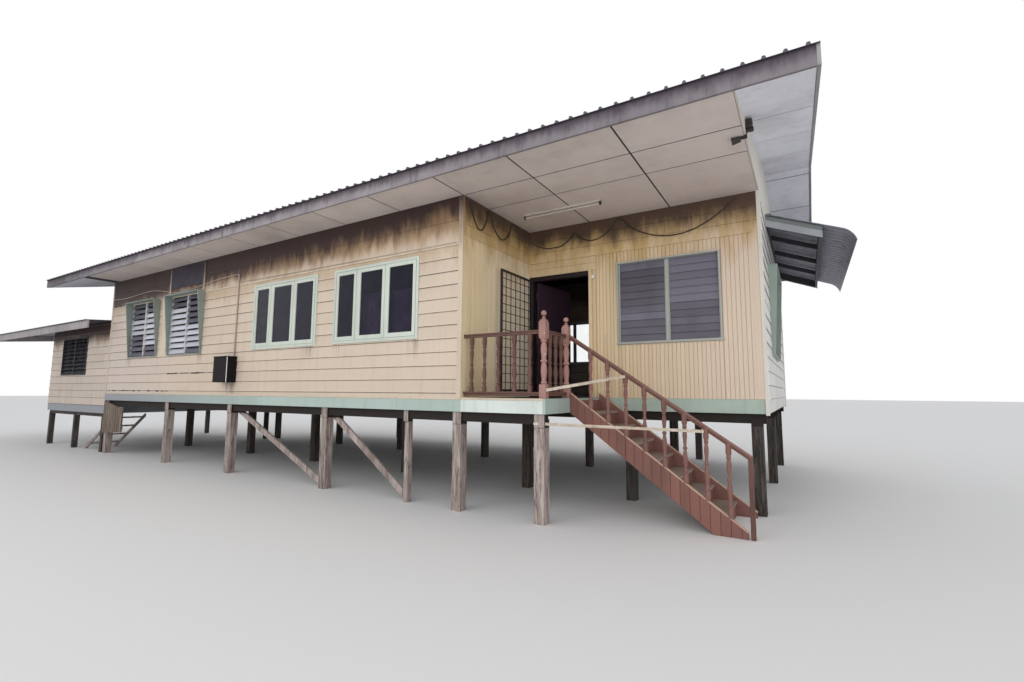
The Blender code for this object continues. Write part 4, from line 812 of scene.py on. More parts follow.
def louvreBank(shape, left, right, bottom, top, face, count, width, tilt, index, pale=()):
    # one bank of glass blades in two thin channels; face is the channel's front, pale gives the numbers of the blades
    # that take a painted sky reflection
    pitch = (top - bottom) / count
    for number in range(count):
        middle = Vector(((left + right) / 2, bottom + pitch * (number + 0.5), face - 0.03))
        turn = Matrix.Translation(middle) @ Matrix.Rotation(math.radians(tilt), 4, "X")
        size = Matrix.Diagonal((right - left - 0.006, width, louvre["glass"], 1))
        verts = bmesh.ops.create_cube(shape, size=1, matrix=turn @ size)["verts"]
        tintFaces(shape, verts, random.random())
        for f in {f for v in verts for f in v.link_faces}:
            f.material_index = index + (number in pale)


def makeLouvres():
    b, foot = louvre["board"], louvre["footReach"]
    for name, pale in louvre["pale"].items():
        left, right, bottom, top = nodeRect(name)
        middle = (left + right) / 2
        shape = startShape()
        hoodBox(shape, left, right, bottom, top, b, -0.05, louvre["reach"], foot)
        softBoard(shape, (left + b, bottom, -0.05), (right - b, bottom + b, foot))
        softBoard(shape, (middle - 0.018, bottom + b, -0.04), (middle + 0.018, top - b, 0.012), index=1)
        for x in (left + b, middle - 0.026, middle + 0.018, right - b - 0.008):
            addBoard(shape, (x, bottom + b, -0.035), (x + 0.008, top - b, 0.0), index=1)
        spans = ((left + b + 0.008, middle - 0.026), (middle + 0.026, right - b - 0.008))
        for (start, end), numbers in zip(spans, pale):
            louvreBank(shape, start, end, bottom + b, top - b, 0.02, louvre["blades"], louvre["bladeWidth"],
                       louvre["tilt"], 2, numbers)
        finishPiece(name.replace("window", "box"), shape, ["louvreGreen", "paleFrame", "louvreGlass", "skyReflectionBlades"],
                    replaces=[name], matrix=wallFrame(0, longFace))
    print("louvres made")


makeLouvres()

porchWindow = {"board": 0.022, "reach": 0.085, "sill": 0.035, "split": 2.41, "blades": 11, "tilt": -9}


def makePorchWindow():
    left, right, bottom, top = nodeRect("porch_window")
    b, sill, split = porchWindow["board"], bottom + porchWindow["sill"], porchWindow["split"]
    shape = startShape()
    hoodBox(shape, left, right, bottom, top, b, -0.06, porchWindow["reach"], 0.035)
    softBoard(shape, (left - 0.02, bottom, -0.06), (right + 0.02, sill, 0.045), 0.004)
    softBoard(shape, (split - 0.02, bottom + b, -0.045), (split + 0.02, top - b, 0.03))
    for start, end in ((left + b, split - 0.02), (split + 0.02, right - b)):
        for x in (start, end - 0.014):
            addBoard(shape, (x, sill, -0.04), (x + 0.014, top - b, 0.012))
        louvreBank(shape, start + 0.014, end - 0.014, sill, top - b, 0.025, porchWindow["blades"], 0.114,
                   porchWindow["tilt"], 1)
    finishPiece("porch_window_box", shape, ["windowGreen", "porchBlades"], replaces=["porch_window"],
                matrix=wallFrame(0, porchFace))
    print("porch window made")


makePorchWindow()

baluster = [(1.0, 0.0), (1.0, 0.11), (0.7, 0.125), (0.62, 0.14), (0.9, 0.155), (0.9, 0.17), (0.55, 0.19),
            (0.62, 0.23), (0.88, 0.3), (0.94, 0.36), (0.72, 0.43), (0.5, 0.475), (0.82, 0.49), (0.82, 0.51),
            (0.5, 0.53), (0.66, 0.6), (0.86, 0.68), (0.8, 0.73), (0.55, 0.78), (0.86, 0.795), (0.86, 0.815),
            (0.66, 0.83), (1.0, 0.86), (1.0, 1.0)]
newelTurning = [(0.6, 0.16), (0.82, 0.172), (0.82, 0.186), (0.58, 0.2), (0.66, 0.235), (0.84, 0.3), (0.78, 0.36),
                (0.56, 0.402), (0.9, 0.415), (0.9, 0.43), (0.6, 0.445), (0.72, 0.5), (0.88, 0.55), (0.76, 0.6),
                (0.56, 0.632), (0.84, 0.645), (0.84, 0.655), (0.6, 0.668)]


def turnedShape(shape, x, y, bottom, top, radius, profile, steps=14, turn=0.0):
    # spins a profile of (radius share, height share) about an upright axis; four steps make a square block
    part = startShape()
    line = [part.verts.new((radius * wide, 0, bottom + (top - bottom) * up)) for wide, up in profile]
    line = [part.verts.new((0, 0, line[0].co.z))] + line + [part.verts.new((0, 0, line[-1].co.z))]
    edges = [part.edges.new(pair) for pair in zip(line, line[1:])]
    bmesh.ops.spin(part, geom=line + edges, cent=(0, 0, 0), axis=(0, 0, 1), angle=2 * math.pi, steps=steps,
                   use_merge=True)
    bmesh.ops.remove_doubles(part, verts=part.verts, dist=0.0001)
    tintFaces(part, part.verts, random.random())
    joinShape(shape, part, Matrix.Translation((x, y, 0)) @ Matrix.Rotation(turn, 4, "Z"))


stair = {"post": 0.0475, "ball": 0.036, "railTop": 2.37, "railDeep": 0.05, "railWide": 0.06, "lowRail": 1.59,
         "cladPitch": 0.108, "cladThick": 0.012, "nosing": 0.03, "tread": 0.032}


def newelShape(shape, x, y, bottom, top):
    radius = stair["post"]
    height = top - bottom
    softBoard(shape, (x - radius, y - radius, bottom), (x + radius, y + radius, bottom + 0.16 * height), 0.008,
              segments=2)
    turnedShape(shape, x, y, bottom, top, radius, newelTurning, 20)
    block = [(0.62, 0.664), (0.8, 0.672), (0.96, 0.69), (1.0, 0.71), (1.0, 0.845), (0.94, 0.868), (0.74, 0.888),
             (0.5, 0.9)]
    turnedShape(shape, x, y, bottom, top, radius * math.sqrt(2), block, 4, math.pi / 4)
    neck = [(0.62, 0.885), (0.42, 0.905), (0.5, 0.915), (0.3, 0.93)]
    turnedShape(shape, x, y, bottom, top, radius, neck, 16)
    part = startShape()
    bmesh.ops.create_uvsphere(part, u_segments=20, v_segments=12, radius=stair["ball"])
    tintFaces(part, part.verts, 0.7)
    joinShape(shape, part, Matrix.Translation((x, y, top - stair["ball"])))


def railBoard(shape, start, end, wide, deep, index=0):  # a moulded rail between two points of its top's middle line
    matrix, length = lineFrame(start, end)
    part = startShape()
    softBoard(part, (0, -wide / 2, -deep * 0.45), (length, wide / 2, 0), 0.006, index=index, segments=2)
    softBoard(part, (0, -wide * 0.36, -deep), (length, wide * 0.36, -deep * 0.45), 0.004)
    joinShape(shape, part, matrix)


def makeBalustrades():
    low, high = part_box("deck_balustrade")
    width = stair["railWide"]
    corner, back = high.x - stair["post"], high.y - stair["post"]
    y = width / 2 - 0.07
    shape = startShape()
    newelShape(shape, corner, y, low.z, high.z)
    newelShape(shape, corner, back, low.z, high.z)
    for face in shape.faces:
        face.material_index = 1
    for top in (stair["railTop"], stair["lowRail"]):
        railBoard(shape, (low.x, y, top), (corner, y, top), width, stair["railDeep"])
        railBoard(shape, (corner, y, top), (corner, back, top), width, stair["railDeep"])
    bottom, top = stair["lowRail"] - 0.01, stair["railTop"] - 0.04
    for x in (0.216, 0.424, 0.646, 0.89, 1.12):
        turnedShape(shape, x, y, bottom, top, 0.031, baluster)
    for share in (0.25, 0.5, 0.75):
        turnedShape(shape, corner, y + (back - y) * share, bottom, top, 0.031, baluster)
    finishPiece("deck_turned_balustrade", shape, ["stairRed", "newelPaint"], replaces=["deck_balustrade"],
                smooth=True)

    low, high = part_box("stair_balustrade")
    flightLow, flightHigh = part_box("stair_flight")
    y = flightLow.y + 0.0175
    start, end = flightLow.x, flightHigh.x
    run, foot = end - start, 0.05
    shape = startShape()
    softBoard(shape, (high.x - foot, y - foot / 2, 0), (high.x, y + foot / 2, 0.89), 0.006)
    # painted highlight: index 1 gives the rail's upper board the lighter baluster paint, as its top catches the light
    railBoard(shape, (start, y, high.z), (high.x, y, 0.895), width, 0.055, 1)
    for number in range(1, 9):
        x = start + run * (number + 0.25) / 9
        bottom = floorTop - (x - start) * floorTop / run + 0.08
        top = high.z - 0.03 - (high.z - 0.89) * (x - start) / (high.x - start)
        turnedShape(shape, x, y, bottom, top, 0.031, baluster)
        for face in shape.faces:
            if abs(face.calc_center_median().x - x) < 0.04 and face.calc_center_median().z < top - 0.03:
                face.material_index = 1
    finishPiece("stair_turned_balustrade", shape, ["stairRed", "balusterPaint"], replaces=["stair_balustrade"],
                smooth=True)
    print("balustrades turned")


def cutBelow(shape, first, second, keepBelow):  # trims a shape by the line through two (x, z) points
    normal = Vector((first[1] - second[1], 0, second[0] - first[0]))
    if (normal.z > 0) != keepBelow:
        normal.negate()
    cutShape(shape, (first[0], 0, first[1]), normal)


def makeFlight():
    low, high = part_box("stair_flight")
    rises, board, clad, pitch = 8, 0.035, stair["cladThick"], stair["cladPitch"]
    rise, going = floorTop / rises, (high.x - low.x) / rises
    shape = startShape()
    for near in (low.y, high.y - board):
        outside = near == low.y  # the boards clad the side that faces away from the treads
        core = (near + clad, near + board) if outside else (near, near + board - clad)
        skin = (near, near + clad) if outside else (near + board - clad, near + board)
        plank = startShape()
        addBoard(plank, (low.x, core[0], 0), (high.x, core[1], high.z), 0.4)
        x = low.x
        while x < high.x:
            softBoard(plank, (x + 0.0015, skin[0], 0), (min(x + pitch, high.x) - 0.0015, skin[1], high.z))
            x += pitch
        cutBelow(plank, (low.x, high.z), (high.x, 0.07), True)
        cutBelow(plank, (low.x, house["bandFoot"]), (high.x - 0.35, 0.0), False)
        joinShape(shape, plank)
        part, half = startShape(), board / 2
        matrix, length = lineFrame((low.x, near + half, high.z), (high.x, near + half, 0.07))
        softBoard(part, (0.004, -half - 0.004, -0.004), (length, half + 0.004, 0.011), index=1)
        joinShape(shape, part, matrix)
    inner, outer = low.y + board, high.y - board
    for number in range(1, rises):
        z, x = floorTop - rise * number, low.x + going * (number - 1)
        softBoard(shape, (x, inner, z - stair["tread"]), (x + going + stair["nosing"], outer, z), 0.006, index=2,
                  segments=2)
    for number in range(rises):
        z, x = floorTop - rise * number, low.x + going * number
        addBoard(shape, (x - 0.001, inner, z - rise - 0.002), (x + 0.018, outer, z - stair["tread"]))
    finishPiece("stair_boards", shape, ["stairClad", "stairEdge", "tread"], replaces=["stair_flight"])
    print("stair made")


makeBalustrades()
makeFlight()

band = {"thick": 0.006, "lip": 0.028}


def makeBands():
    low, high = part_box("band_front")
    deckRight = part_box("porch_deck")[1].x
    foot, thick = house["bandFoot"], band["thick"]
    runs = [  # where the boards meet, the look of each and the side they are on
        ((low.x, -8.2, -4.6, -1.1, 0.08, deckRight), (0, 0, 0, 0, 2), wallFrame(0, low.y)),
        ((low.y + 0.003, 0.63), (2,), wallFrame(deckRight, 0, 90)),
        ((deckRight, rightEnd), (3,), wallFrame(0, high.y - 0.03)),
    ]
    shape = startShape()
    for cuts, kinds, matrix in runs:
        part = startShape()
        for a, b, kind in zip(cuts, cuts[1:], kinds):
            softBoard(part, (a + 0.0015, foot, 0), (b - 0.0015, floorTop, thick), 0.002, index=kind)
            if len(kinds) > 1:  # a lip runs along the top of the long band
                softBoard(part, (a + 0.0015, floorTop - band["lip"], thick),
                          (b - 0.0015, floorTop + 0.002, thick + 0.008), 0.002, index=1)
        joinShape(shape, part, matrix)
    finishPiece("band_boards", shape, ["mint", "trim", "bandPale", "bandGreen"])
    shape = startShape()
    softBoard(shape, (1.81, foot, 0), (house["depth"], floorTop, thick), 0.002)
    finishPiece("band_end_board", shape, ["white"], matrix=wallFrame(rightEnd, 0, 90))
    print("bands made")


makeBands()


def makePostHeads():  # the front posts stand in front of their bearer up to the band
    mesh = nodes["post_row_front"].data
    places = sorted({round(vert.co.x, 3) for vert in mesh.vertices if vert.co.z < 0.005})
    front = min(vert.co.y for vert in mesh.vertices if vert.co.z < 0.005)
    shape = startShape()
    for left, right in zip(places[::2], places[1::2]):
        softBoard(shape, (left, front - 0.006, 1.155), (right, front + 0.012, 1.318))
    finishPiece("post_heads", shape, ["postHead"])


makePostHeads()

gate = {"bar": 0.009, "frame": 0.03, "wide": 1.01, "columns": 7, "rows": 14, "knuckle": 0.016}


def makeGate():  # thin welded bars in a square frame, folded back against the return wall
    low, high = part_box("grille_gate")
    f, half = gate["frame"], gate["bar"] / 2
    near, far, left = low.y, low.y + gate["wide"], high.x - gate["frame"]
    shape = startShape()
    for y in (near, far - f):
        softBoard(shape, (left, y, low.z), (high.x, y + f, high.z), 0.002)
    for z in (low.z, high.z - f):
        softBoard(shape, (left, near + f, z), (high.x, far - f, z + f), 0.002)
    middle = left + f / 2
    for index in range(1, gate["columns"]):
        y = near + gate["wide"] * index / gate["columns"]
        addBoard(shape, (middle - half, y - half, low.z + f), (middle + half, y + half, high.z - f))
    for index in range(1, gate["rows"]):
        z = low.z + (high.z - low.z) * index / gate["rows"]
        addBoard(shape, (middle + half - 0.002, near + f, z - half), (middle + 3 * half, far - f, z + half))
    for share in (0.1, 0.9):
        z = low.z + (high.z - low.z) * share
        softBoard(shape, (low.x, high.y - gate["knuckle"], z - 0.04), (left + 0.004, high.y, z + 0.04), 0.005)
    finishPiece("gate_bars", shape, ["iron"], body="grille_gate", replaces=["grille_gate"])


makeGate()


def makeBattens():  # two loose battens across the corner post, the deck and the stair
    shapes = {"pale_batten": ((1.38, -0.1, 1.615), (2.14, 0.59, 1.793), 0.036),
              "low_batten": ((1.2, -0.09, 1.205), (3.06, 0.6, 1.15), 0.034)}
    for name, (start, end, deep) in shapes.items():
        matrix, length = lineFrame(start, end)
        shape = startShape()
        softBoard(shape, (0, -0.008, -deep / 2), (length, 0.008, deep / 2), 0.002)
        finishPiece(name + "_strip", shape, ["paleWood"], replaces=[name], matrix=matrix)


makeBattens()

ceiling = {"sheet": 0.006, "gap": 0.022, "across": (-0.81, -0.1, 0.52, 1.807), "along": (1.2, 2.48),
           "verge": (-0.8, 0.3, 1.3, 2.35, 3.15, 3.6, 3.8, 4.8, 5.9, 7.0, 8.0)}


def makeCeilings():
    low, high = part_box("soffit_front")
    left, right = low.x + 0.002, high.x - 0.002
    cuts = {0.08, *ceiling["along"], right}
    place = 0.08
    while place > left + 1.0:
        place -= 1.22
        cuts.add(max(place, left))
    cuts = sorted(cuts)
    shape = startShape()
    gap = ceiling["gap"] / 2
    for a, b in zip(cuts, cuts[1:]):
        rows = ceiling["across"] if a >= 0.07 else (-0.81, -0.105)
        for c, d in zip(rows, rows[1:]):
            addBoard(shape, (a + gap, c + gap, low.z - ceiling["sheet"]), (b - gap, d - gap, low.z))
    # dark paper shows in the joints
    addBoard(shape, (low.x + 0.01, -0.8, low.z - 0.002), (high.x - 0.01, -0.12, low.z - 0.0005), index=1)
    addBoard(shape, (0.1, -0.12, low.z - 0.002), (high.x - 0.01, 1.8, low.z - 0.0005), index=1)
    finishPiece("ceiling_panels", shape, ["soffit", "darkBoard"])
    shape = startShape()
    ridge, tilt = house["ridge"], math.atan(house["slope"])
    top = Matrix.Translation((0, ridge, house["ridgeHeight"] - 0.165))
    for name in ("verge_soffit_right", "verge_soffit_left"):
        low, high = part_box(name)
        for side in (-1, 1):
            part = startShape()
            for spot, after in zip(ceiling["verge"], ceiling["verge"][1:]):
                if (spot + after > 2 * ridge) == (side > 0):
                    start, end = (spot - ridge) / math.cos(tilt) + gap, (after - ridge) / math.cos(tilt) - gap
                    addBoard(part, (low.x + 0.004, start, -0.019), (high.x - 0.004, end, -0.012))
                    addBoard(part, (low.x + 0.008, start - 0.02, -0.0135), (high.x - 0.008, end + 0.02, -0.0125),
                             index=1)
            joinShape(shape, part, top @ Matrix.Rotation(-side * tilt, 4, "X"))
    finishPiece("verge_panels", shape, ["verge", "darkBoard"])
    print("ceilings panelled")


makeCeilings()

cable = {"radius": 0.009, "length": 6.1}
meter = {"left": -5.82, "right": -5.34, "sill": 1.74, "head": 2.23, "deep": 0.2, "wires": {  # radius and (x, z) points
    "meter_pipe": (0.013, [(-5.42, 2.24), (-5.42, 3.0), (-5.42, 3.84), (-5.43, 3.88)]),
    "wall_wire_left": (0.008, [(-5.43, 3.88), (-5.92, 3.87), (-6.46, 3.84), (-6.99, 3.785), (-7.49, 3.765),
                               (-7.95, 3.764), (-8.48, 3.85), (-9.03, 3.91), (-9.64, 3.9), (-10.38, 3.865), (-11.1, 3.887)]),
    "wall_wire_right": (0.005, [(-5.42, 3.72), (-4.0, 3.7), (-2.0, 3.69), (-0.02, 3.68)]),
}}


def swag(start, end, sag, steps=7):
    start, end = Vector(start), Vector(end)
    points = []
    for step in range(steps):
        share = step / steps
        point = start.lerp(end, share)
        point.z -= sag * 4 * share * (1 - share)
        points.append(point)
    return points


def tubePiece(name, points, radius, look, replaces=()):
    curve = bpy.data.curves.new(name, "CURVE")
    curve.dimensions = "3D"
    curve.bevel_depth = radius
    curve.bevel_resolution = 3
    curve.resolution_u = 6
    curve.use_fill_caps = True
    line = curve.splines.new("BEZIER")
    line.bezier_points.add(len(points) - 1)
    for point, place in zip(line.bezier_points, points):
        point.co = place
        point.handle_left_type = point.handle_right_type = "AUTO"
    obj = bpy.data.objects.new(name, curve)
    bpy.context.scene.collection.objects.link(obj)
    curve.materials.append(looks[look])
    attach(obj, "house")
    if replaces:
        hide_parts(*replaces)
    return obj


def makeCables():
    x, y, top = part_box("porch_return_wall")[1].x + 0.03, porchFace - 0.03, 4.31
    clips = [(x, 0.02, top), (x, 0.5, top), (x, 1.2, top)]
    points = []
    for start, end, sag in zip(clips, clips[1:], (0.36, 0.34)):
        points += swag(start, end, sag)
    clips = [clips[-1], (0.58, y, 4.01), (0.94, y, 4.2), (1.68, y, top), (3.38, y, top)]
    for start, end, sag in zip(clips, clips[1:], (0.14, 0.06, 0.22, 0.4)):
        points += swag(start, end, sag, 8)
    points.append(Vector(clips[-1]))
    obj = tubePiece("porch_swag_cable", points, cable["radius"], "plastic", ["porch_cable"])

    left, right, sill, head, deep = (meter[key] for key in ("left", "right", "sill", "head", "deep"))
    shape = startShape()
    softBoard(shape, (left, sill, 0.0), (right, head, deep), 0.006, segments=2)
    softBoard(shape, (left + 0.02, sill + 0.02, deep), (right - 0.02, head - 0.02, deep + 0.006))
    softBoard(shape, (right - 0.009, sill + 0.002, deep - 0.006), (right + 0.004, head - 0.002, deep + 0.004), 0.002,
              index=1)
    softBoard(shape, (left - 0.01, head, 0), (right + 0.01, head + 0.012, deep + 0.014), 0.002)
    finishPiece("meter_cupboard", shape, ["meterBoard", "whitePlastic"], replaces=["meter_box"],
                matrix=wallFrame(0, longFace))
    for name, (radius, line) in meter["wires"].items():
        points = [Vector((x, longFace - 0.028, z)) for x, z in line]
        tubePiece(name, points, radius, "plainTrim")
    print("cables hung")


makeCables()

curtain = {"thick": 0.002, "fold": 0.11, "deep": 0.018}


def makeCurtain(name, left, right, low, high, depth, look):
    shape = startShape()
    width = right - left
    bmesh.ops.create_grid(shape, x_segments=int(width / 0.012), y_segments=6, size=0.5)
    for vert in shape.verts:
        u, v = vert.co.x + 0.5, vert.co.y + 0.5
        wave = math.sin(u * width / curtain["fold"] * 2 * math.pi + 0.6 * math.sin(v * 3))
        vert.co = (left + width * u, depth + curtain["deep"] * wave * (1.1 - 0.4 * v), low + (high - low) * v)
    obj = finishPiece(name, shape, [look])
    solid = obj.modifiers.new("cloth", "SOLIDIFY")
    solid.thickness = curtain["thick"]


def makeCurtains():
    low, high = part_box("casement_window_2")
    makeCurtain("casement_curtain", low.x + 0.52, high.x - 0.08, low.z + 0.1, low.z + 0.8, 0.0, "curtainBrown")
    low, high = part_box("porch_window")
    makeCurtain("porch_curtain", low.x + 0.85, high.x - 0.05, low.z + 0.08, low.z + 0.9, porchFace + 0.1, "curtainPale")
    print("curtains hung")


makeCurtains()

backWindows = {"frame": 0.045, "stile": 0.042, "proud": 0.024}


def makeBackWindows():
    f, stile, out = (backWindows[key] for key in ("frame", "stile", "proud"))
    for name in ("back_window_1", "back_window_2", "back_window_3"):
        low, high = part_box(name)
        left, right = -high.x, -low.x
        shape = startShape()
        barRing(shape, left, right, low.z, high.z, f, f, -0.05, out, out + 0.006)
        step = (right - left - 2 * f) / 3
        for number in range(3):
            start, end = left + f + step * number + 0.003, left + f + step * (number + 1) - 0.003
            addSash(shape, start, end, low.z + f + 0.004, high.z - f - 0.004, stile, stile, out - 0.008, 0.004)
        finishPiece(name.replace("window", "sashes"), shape, ["windowGreen", "clearGlass"], replaces=[name],
                    matrix=wallFrame(0, high.y - 0.02, 180))
    print("back windows made")


makeBackWindows()

sideBox = {"board": 0.02, "blades": 12, "frame": 0.04}


def makeSideWindows():
    left, right, bottom, top = nodeRect("end_window_box", 1)
    b, foot, middle = sideBox["board"], 0.06, (left + right) / 2
    shape = startShape()
    hoodBox(shape, left, right, bottom, top, b, -0.06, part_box("end_window_box")[1].x - rightEnd, foot)
    softBoard(shape, (left + b, bottom, -0.06), (right - b, bottom + b, foot))
    softBoard(shape, (middle - 0.02, bottom + b, -0.045), (middle + 0.02, top - b, 0.0))
    for start, end in ((left + b, middle - 0.02), (middle + 0.02, right - b)):
        louvreBank(shape, start + 0.004, end - 0.004, bottom + b, top - b, 0.005, sideBox["blades"], 0.11, -22, 1)
    finishPiece("end_louvre_box", shape, ["boxGreen", "porchBlades"], replaces=["end_window_box"],
                matrix=wallFrame(rightEnd, 0, 90))

    left, right, bottom, top = nodeRect("annexe_window")
    f, middle = sideBox["frame"], (left + right) / 2
    shape = startShape()
    barRing(shape, left, right, bottom, top, f, f, -0.06, 0.022, 0.026)
    softBoard(shape, (middle - 0.02, bottom + f, -0.05), (middle + 0.02, top - f, 0.012))
    for start, end in ((left + f, middle - 0.02), (middle + 0.02, right - f)):
        louvreBank(shape, start + 0.003, end - 0.003, bottom + f, top - f, 0.01, 9, 0.1, -38, 0)
        for number in (1, 2):
            x = start + (end - start) * number / 3
            addBoard(shape, (x - 0.006, bottom + f, 0.002), (x + 0.006, top - f, 0.014))
    finishPiece("annexe_louvres", shape, ["annexeFrame"], replaces=["annexe_window"],
                matrix=wallFrame(0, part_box("annexe_front_wall")[0].y))
    print("side windows made")


makeSideWindows()

awning = {"beam": 0.7, "slope": 0.4, "top": 4.36, "nose": 0.2, "rib": 0.024, "pitch": 0.168}


def awningPlace(y):  # local x runs out from the wall and falls with the sheet
    shear = Matrix(((1, 0, 0, 0), (0, 1, 0, 0), (-awning["slope"], 0, 1, 0), (0, 0, 0, 1)))
    return Matrix.Translation((rightEnd, y, awning["top"])) @ shear


def makeAwningFrame():  # five rafters run out from the wall to one beam, and the sheet reaches on past it
    low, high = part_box("awning_frame")
    length, beam = high.y - low.y, awning["beam"]
    shape = startShape()
    for number in range(5):
        middle = min(max(length * number / 4, 0.016), length - 0.016)
        end = number in (0, 4)
        softBoard(shape, (0.002, middle - 0.016, -0.15 if end else -0.09), (beam, middle + 0.016, -0.006))
    softBoard(shape, (beam, 0, -0.125), (beam + 0.045, length, -0.008))
    softBoard(shape, (0.002, 0.032, -0.09), (0.03, length - 0.032, -0.008))
    finishPiece("awning_rafters", shape, ["awningWood"], replaces=["awning_frame"],
                matrix=awningPlace(low.y))

    low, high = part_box("awning_sheet")
    line = [(0.005, 0.0)]
    for step in range(0, 6):
        turn = math.radians(14 * step)
        x = 1.0 + awning["nose"] * math.sin(turn) * 0.85
        line.append((x, -awning["slope"] * (x - 0.005) - awning["nose"] * (1 - math.cos(turn))))
    flutes = []  # trapezoid ribs along y, each a place and a height
    y = low.y
    while y < high.y - 0.06:
        flutes += [(y, 0), (y + 0.05, 0), (y + 0.062, 1), (y + 0.088, 1), (y + 0.1, 0)]
        y += awning["pitch"]
    flutes.append((high.y, 0))
    shape = startShape()
    rows = [[shape.verts.new((rightEnd + x + height * awning["rib"] * 0.35, y,
                              awning["top"] + 0.02 + z + height * awning["rib"]))
             for y, height in flutes] for x, z in line]
    for first, second in zip(rows, rows[1:]):
        for number in range(len(flutes) - 1):
            shape.faces.new((first[number], second[number], second[number + 1], first[number + 1]))
    tintFaces(shape, shape.verts, 0.5)
    obj = finishPiece("awning_ribs", shape, ["awning"], replaces=["awning_sheet"])
    solid = obj.modifiers.new("metal", "SOLIDIFY")
    solid.thickness, solid.offset = 0.0015, 0.0


makeAwningFrame()


def makeAwningBoards():  # pale boards on the near and far rafter, and a flashing along the wall
    low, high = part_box("awning_frame")
    sheetLow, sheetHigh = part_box("awning_sheet")
    shape = startShape()
    reach = awning["beam"] + 0.05
    for y, near in ((low.y, (-0.008, 0)), (high.y, (0, 0.008))):
        part = startShape()
        softBoard(part, (0.002, near[0], -0.16), (reach, near[1], -0.036), 0.002)
        softBoard(part, (0.002, near[0] * 2.2, -0.05), (reach, near[1] * 2.2, 0.012), 0.002, index=1)
        joinShape(shape, part, awningPlace(y))
    softBoard(shape, (rightEnd, sheetLow.y, eave), (rightEnd + 0.09, sheetHigh.y, 4.385), index=1)
    finishPiece("awning_boards", shape, ["awningBoard", "awningEdge"])


makeAwningBoards()


def addCone(shape, matrix, segments, low, high, depth):
    part = startShape()
    bmesh.ops.create_cone(part, cap_ends=True, segments=segments, radius1=low, radius2=high, depth=depth)
    tintFaces(part, part.verts, 0.5)
    joinShape(shape, part, matrix)


def makeLamps():
    low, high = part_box("tube_light")
    y = (low.y + high.y) / 2
    shape = startShape()
    softBoard(shape, (low.x, y - 0.018, high.z - 0.03), (high.x, y + 0.018, high.z))
    for x in (low.x, high.x - 0.03):
        softBoard(shape, (x, y - 0.016, low.z - 0.008), (x + 0.03, y + 0.016, high.z), 0.004, index=1, segments=2)
    matrix = Matrix.Translation(((low.x + high.x) / 2, y, low.z + 0.008)) @ Matrix.Rotation(math.pi / 2, 4, "Y")
    addCone(shape, matrix, 20, 0.013, 0.013, high.x - low.x - 0.05)
    finishPiece("tube_lamp", shape, ["lampCover", "iron"], replaces=["tube_light"], smooth=True)

    low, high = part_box("floodlight")
    shape = startShape()
    softBoard(shape, (low.x, low.y, low.z), (low.x + 0.075, high.y - 0.03, high.z), 0.006, segments=2)
    softBoard(shape, (low.x - 0.01, low.y + 0.02, low.z - 0.035), (low.x + 0.085, low.y + 0.055, low.z + 0.01), 0.004)
    softBoard(shape, (low.x - 0.09, low.y + 0.03, low.z - 0.1), (low.x + 0.02, low.y + 0.05, low.z - 0.02))
    matrix = Matrix.Translation((low.x - 0.09, low.y + 0.035, low.z - 0.1)) @ Matrix.Rotation(1.45, 4, "Y")
    addCone(shape, matrix, 24, 0.04, 0.03, 0.09)
    finishPiece("flood_lamp", shape, ["plastic"], replaces=["floodlight"], smooth=True)

    face = porchFace - 0.012
    shape = startShape()
    softBoard(shape, (1.215, face - 0.036, 3.4), (1.285, face, 3.46), 0.01, segments=2)
    finishPiece("door_bell", shape, ["whitePlastic"])
    print("lamps made")


makeLamps()

wearing = {
    "longWall": ["front_wall", "left_end_wall", "back_wall"],
    "porch": ["porch_return_wall", "porch_wall", "wall_over_door"],
    "white": ["right_end_wall"],
    "mint": ["band_front", "band_rear", "annexe_floor"],
    "fascia": ["fascia_front", "fascia_back"],
    "annexeFascia": ["annexe_roof_frame"],
    "bargeBoard": ["barge_board_left", "barge_board_right"],
    "soffit": ["soffit_front", "soffit_back"],
    "verge": ["verge_soffit_left", "verge_soffit_right"],
    "roof": ["roof_front", "roof_back", "ridge_cap", "annexe_roof"],
    "awning": ["awning_sheet"],
    "louvreGreen": ["louvre_window_1", "louvre_window_2", "porch_window"],
    "annexeFrame": ["annexe_window"],
    "boxGreen": ["end_window_box"],
    "awningWood": ["awning_frame"],
    "windowGreen": ["casement_window_1", "casement_window_2", "back_window_1", "back_window_2", "back_window_3"],
    "annexe": ["annexe_front_wall", "annexe_rear_walls"],
    "post": ["post_row_front", "side_steps"],
    "rearPost": ["post_row_porch", "post_row_middle", "post_row_back", "annexe_posts"],
    "slats": ["slatted_panel"],
    "beamX": ["main_floor", "porch_deck"],
    "paleWood": ["pale_batten", "low_batten"],
    "stairRed": ["deck_balustrade", "stair_flight", "stair_balustrade"],
    "door": ["front_door"],
    "doorFrame": ["door_frame"],
    "iron": ["grille_gate"],
    "plastic": ["meter_box", "porch_cable", "floodlight"],
    "whitePlastic": ["tube_light"],
}
for look, names in wearing.items():
    for name in names:
        nodes[name].data.materials.clear()
        nodes[name].data.materials.append(looks[look])
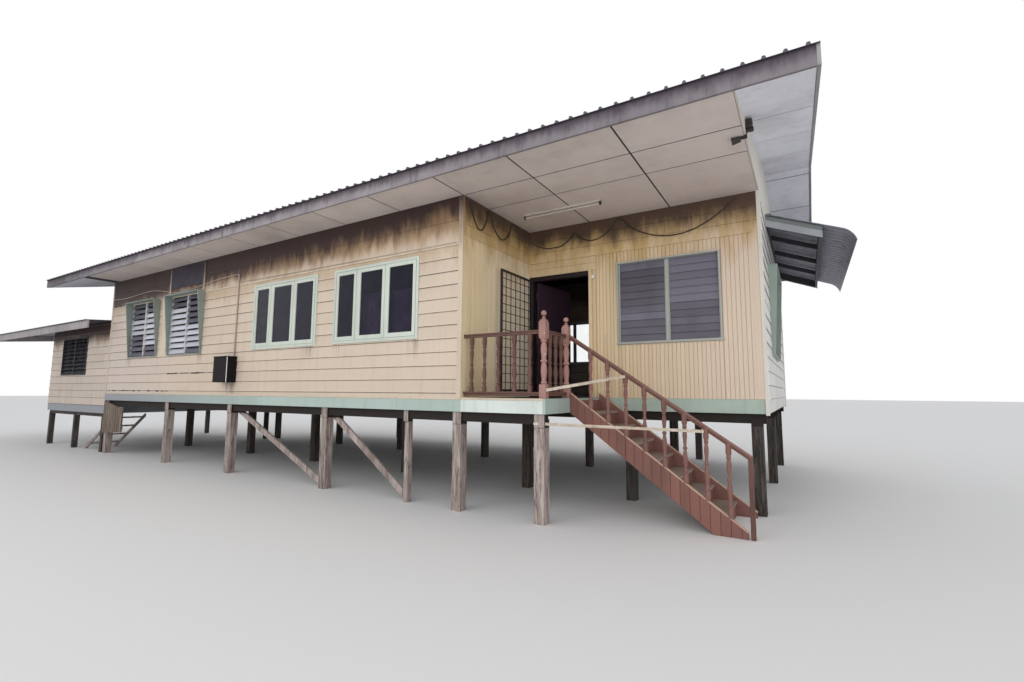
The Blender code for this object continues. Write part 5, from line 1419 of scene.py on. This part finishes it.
print("solids dressed:", sum(map(len, wearing.values())), "of", len(nodes))

studio = {"floor": (0.8, 0.79, 0.78), "world": 0.8, "lamps": (
    ("key", 650.0, (-4.0, -16.0, 11.0), (-4, 0, 2.5), 12.0),
    ("porch_fill", 430.0, (9.0, -12.0, 2.6), (2.2, 1.5, 2.8), 7.0),
)}


def makeStage():
    shape = bmesh.new()
    bmesh.ops.create_grid(shape, x_segments=1, y_segments=1, size=150)
    mesh = bpy.data.meshes.new("studio_floor")
    shape.to_mesh(mesh)
    shape.free()
    floor = bpy.data.objects.new("studio_floor", mesh)
    bpy.context.scene.collection.objects.link(floor)
    material, _, shader, _ = startMaterial("studioFloor")
    shader.inputs["Base Color"].default_value = (*studio["floor"], 1)
    shader.inputs["Roughness"].default_value = 0.9
    mesh.materials.append(material)

    world = bpy.data.worlds.new("studio")
    world.use_nodes = True
    bpy.context.scene.world = world
    tree = world.node_tree
    light = tree.nodes["Background"]
    light.inputs["Color"].default_value = (0.95, 0.97, 1.0, 1)
    light.inputs["Strength"].default_value = studio["world"]
    seen = addNode(tree, "ShaderNodeBackground", {"Color": (1, 1, 1, 1), "Strength": 1.0})
    path = addNode(tree, "ShaderNodeLightPath")
    rays = math2(tree, "MAXIMUM", path.outputs["Is Camera Ray"], path.outputs["Is Glossy Ray"])
    rays = math2(tree, "MAXIMUM", rays, path.outputs["Is Transmission Ray"])
    mix = addNode(tree, "ShaderNodeMixShader", {0: rays, 1: light.outputs[0], 2: seen.outputs[0]})
    tree.links.new(mix.outputs[0], tree.nodes["World Output"].inputs["Surface"])

    for name, energy, place, aim, size in studio["lamps"]:
        data = bpy.data.lights.new(name, "AREA")
        data.shape = "SQUARE"
        data.size = size
        data.energy = energy
        lamp = bpy.data.objects.new(name, data)
        lamp.rotation_euler = (Vector(aim) - Vector(place)).to_track_quat("-Z", "Y").to_euler()
        lamp.location = place
        bpy.context.scene.collection.objects.link(lamp)
    bpy.context.scene.view_settings.view_transform = "Standard"


makeStage()
print("stage ready")
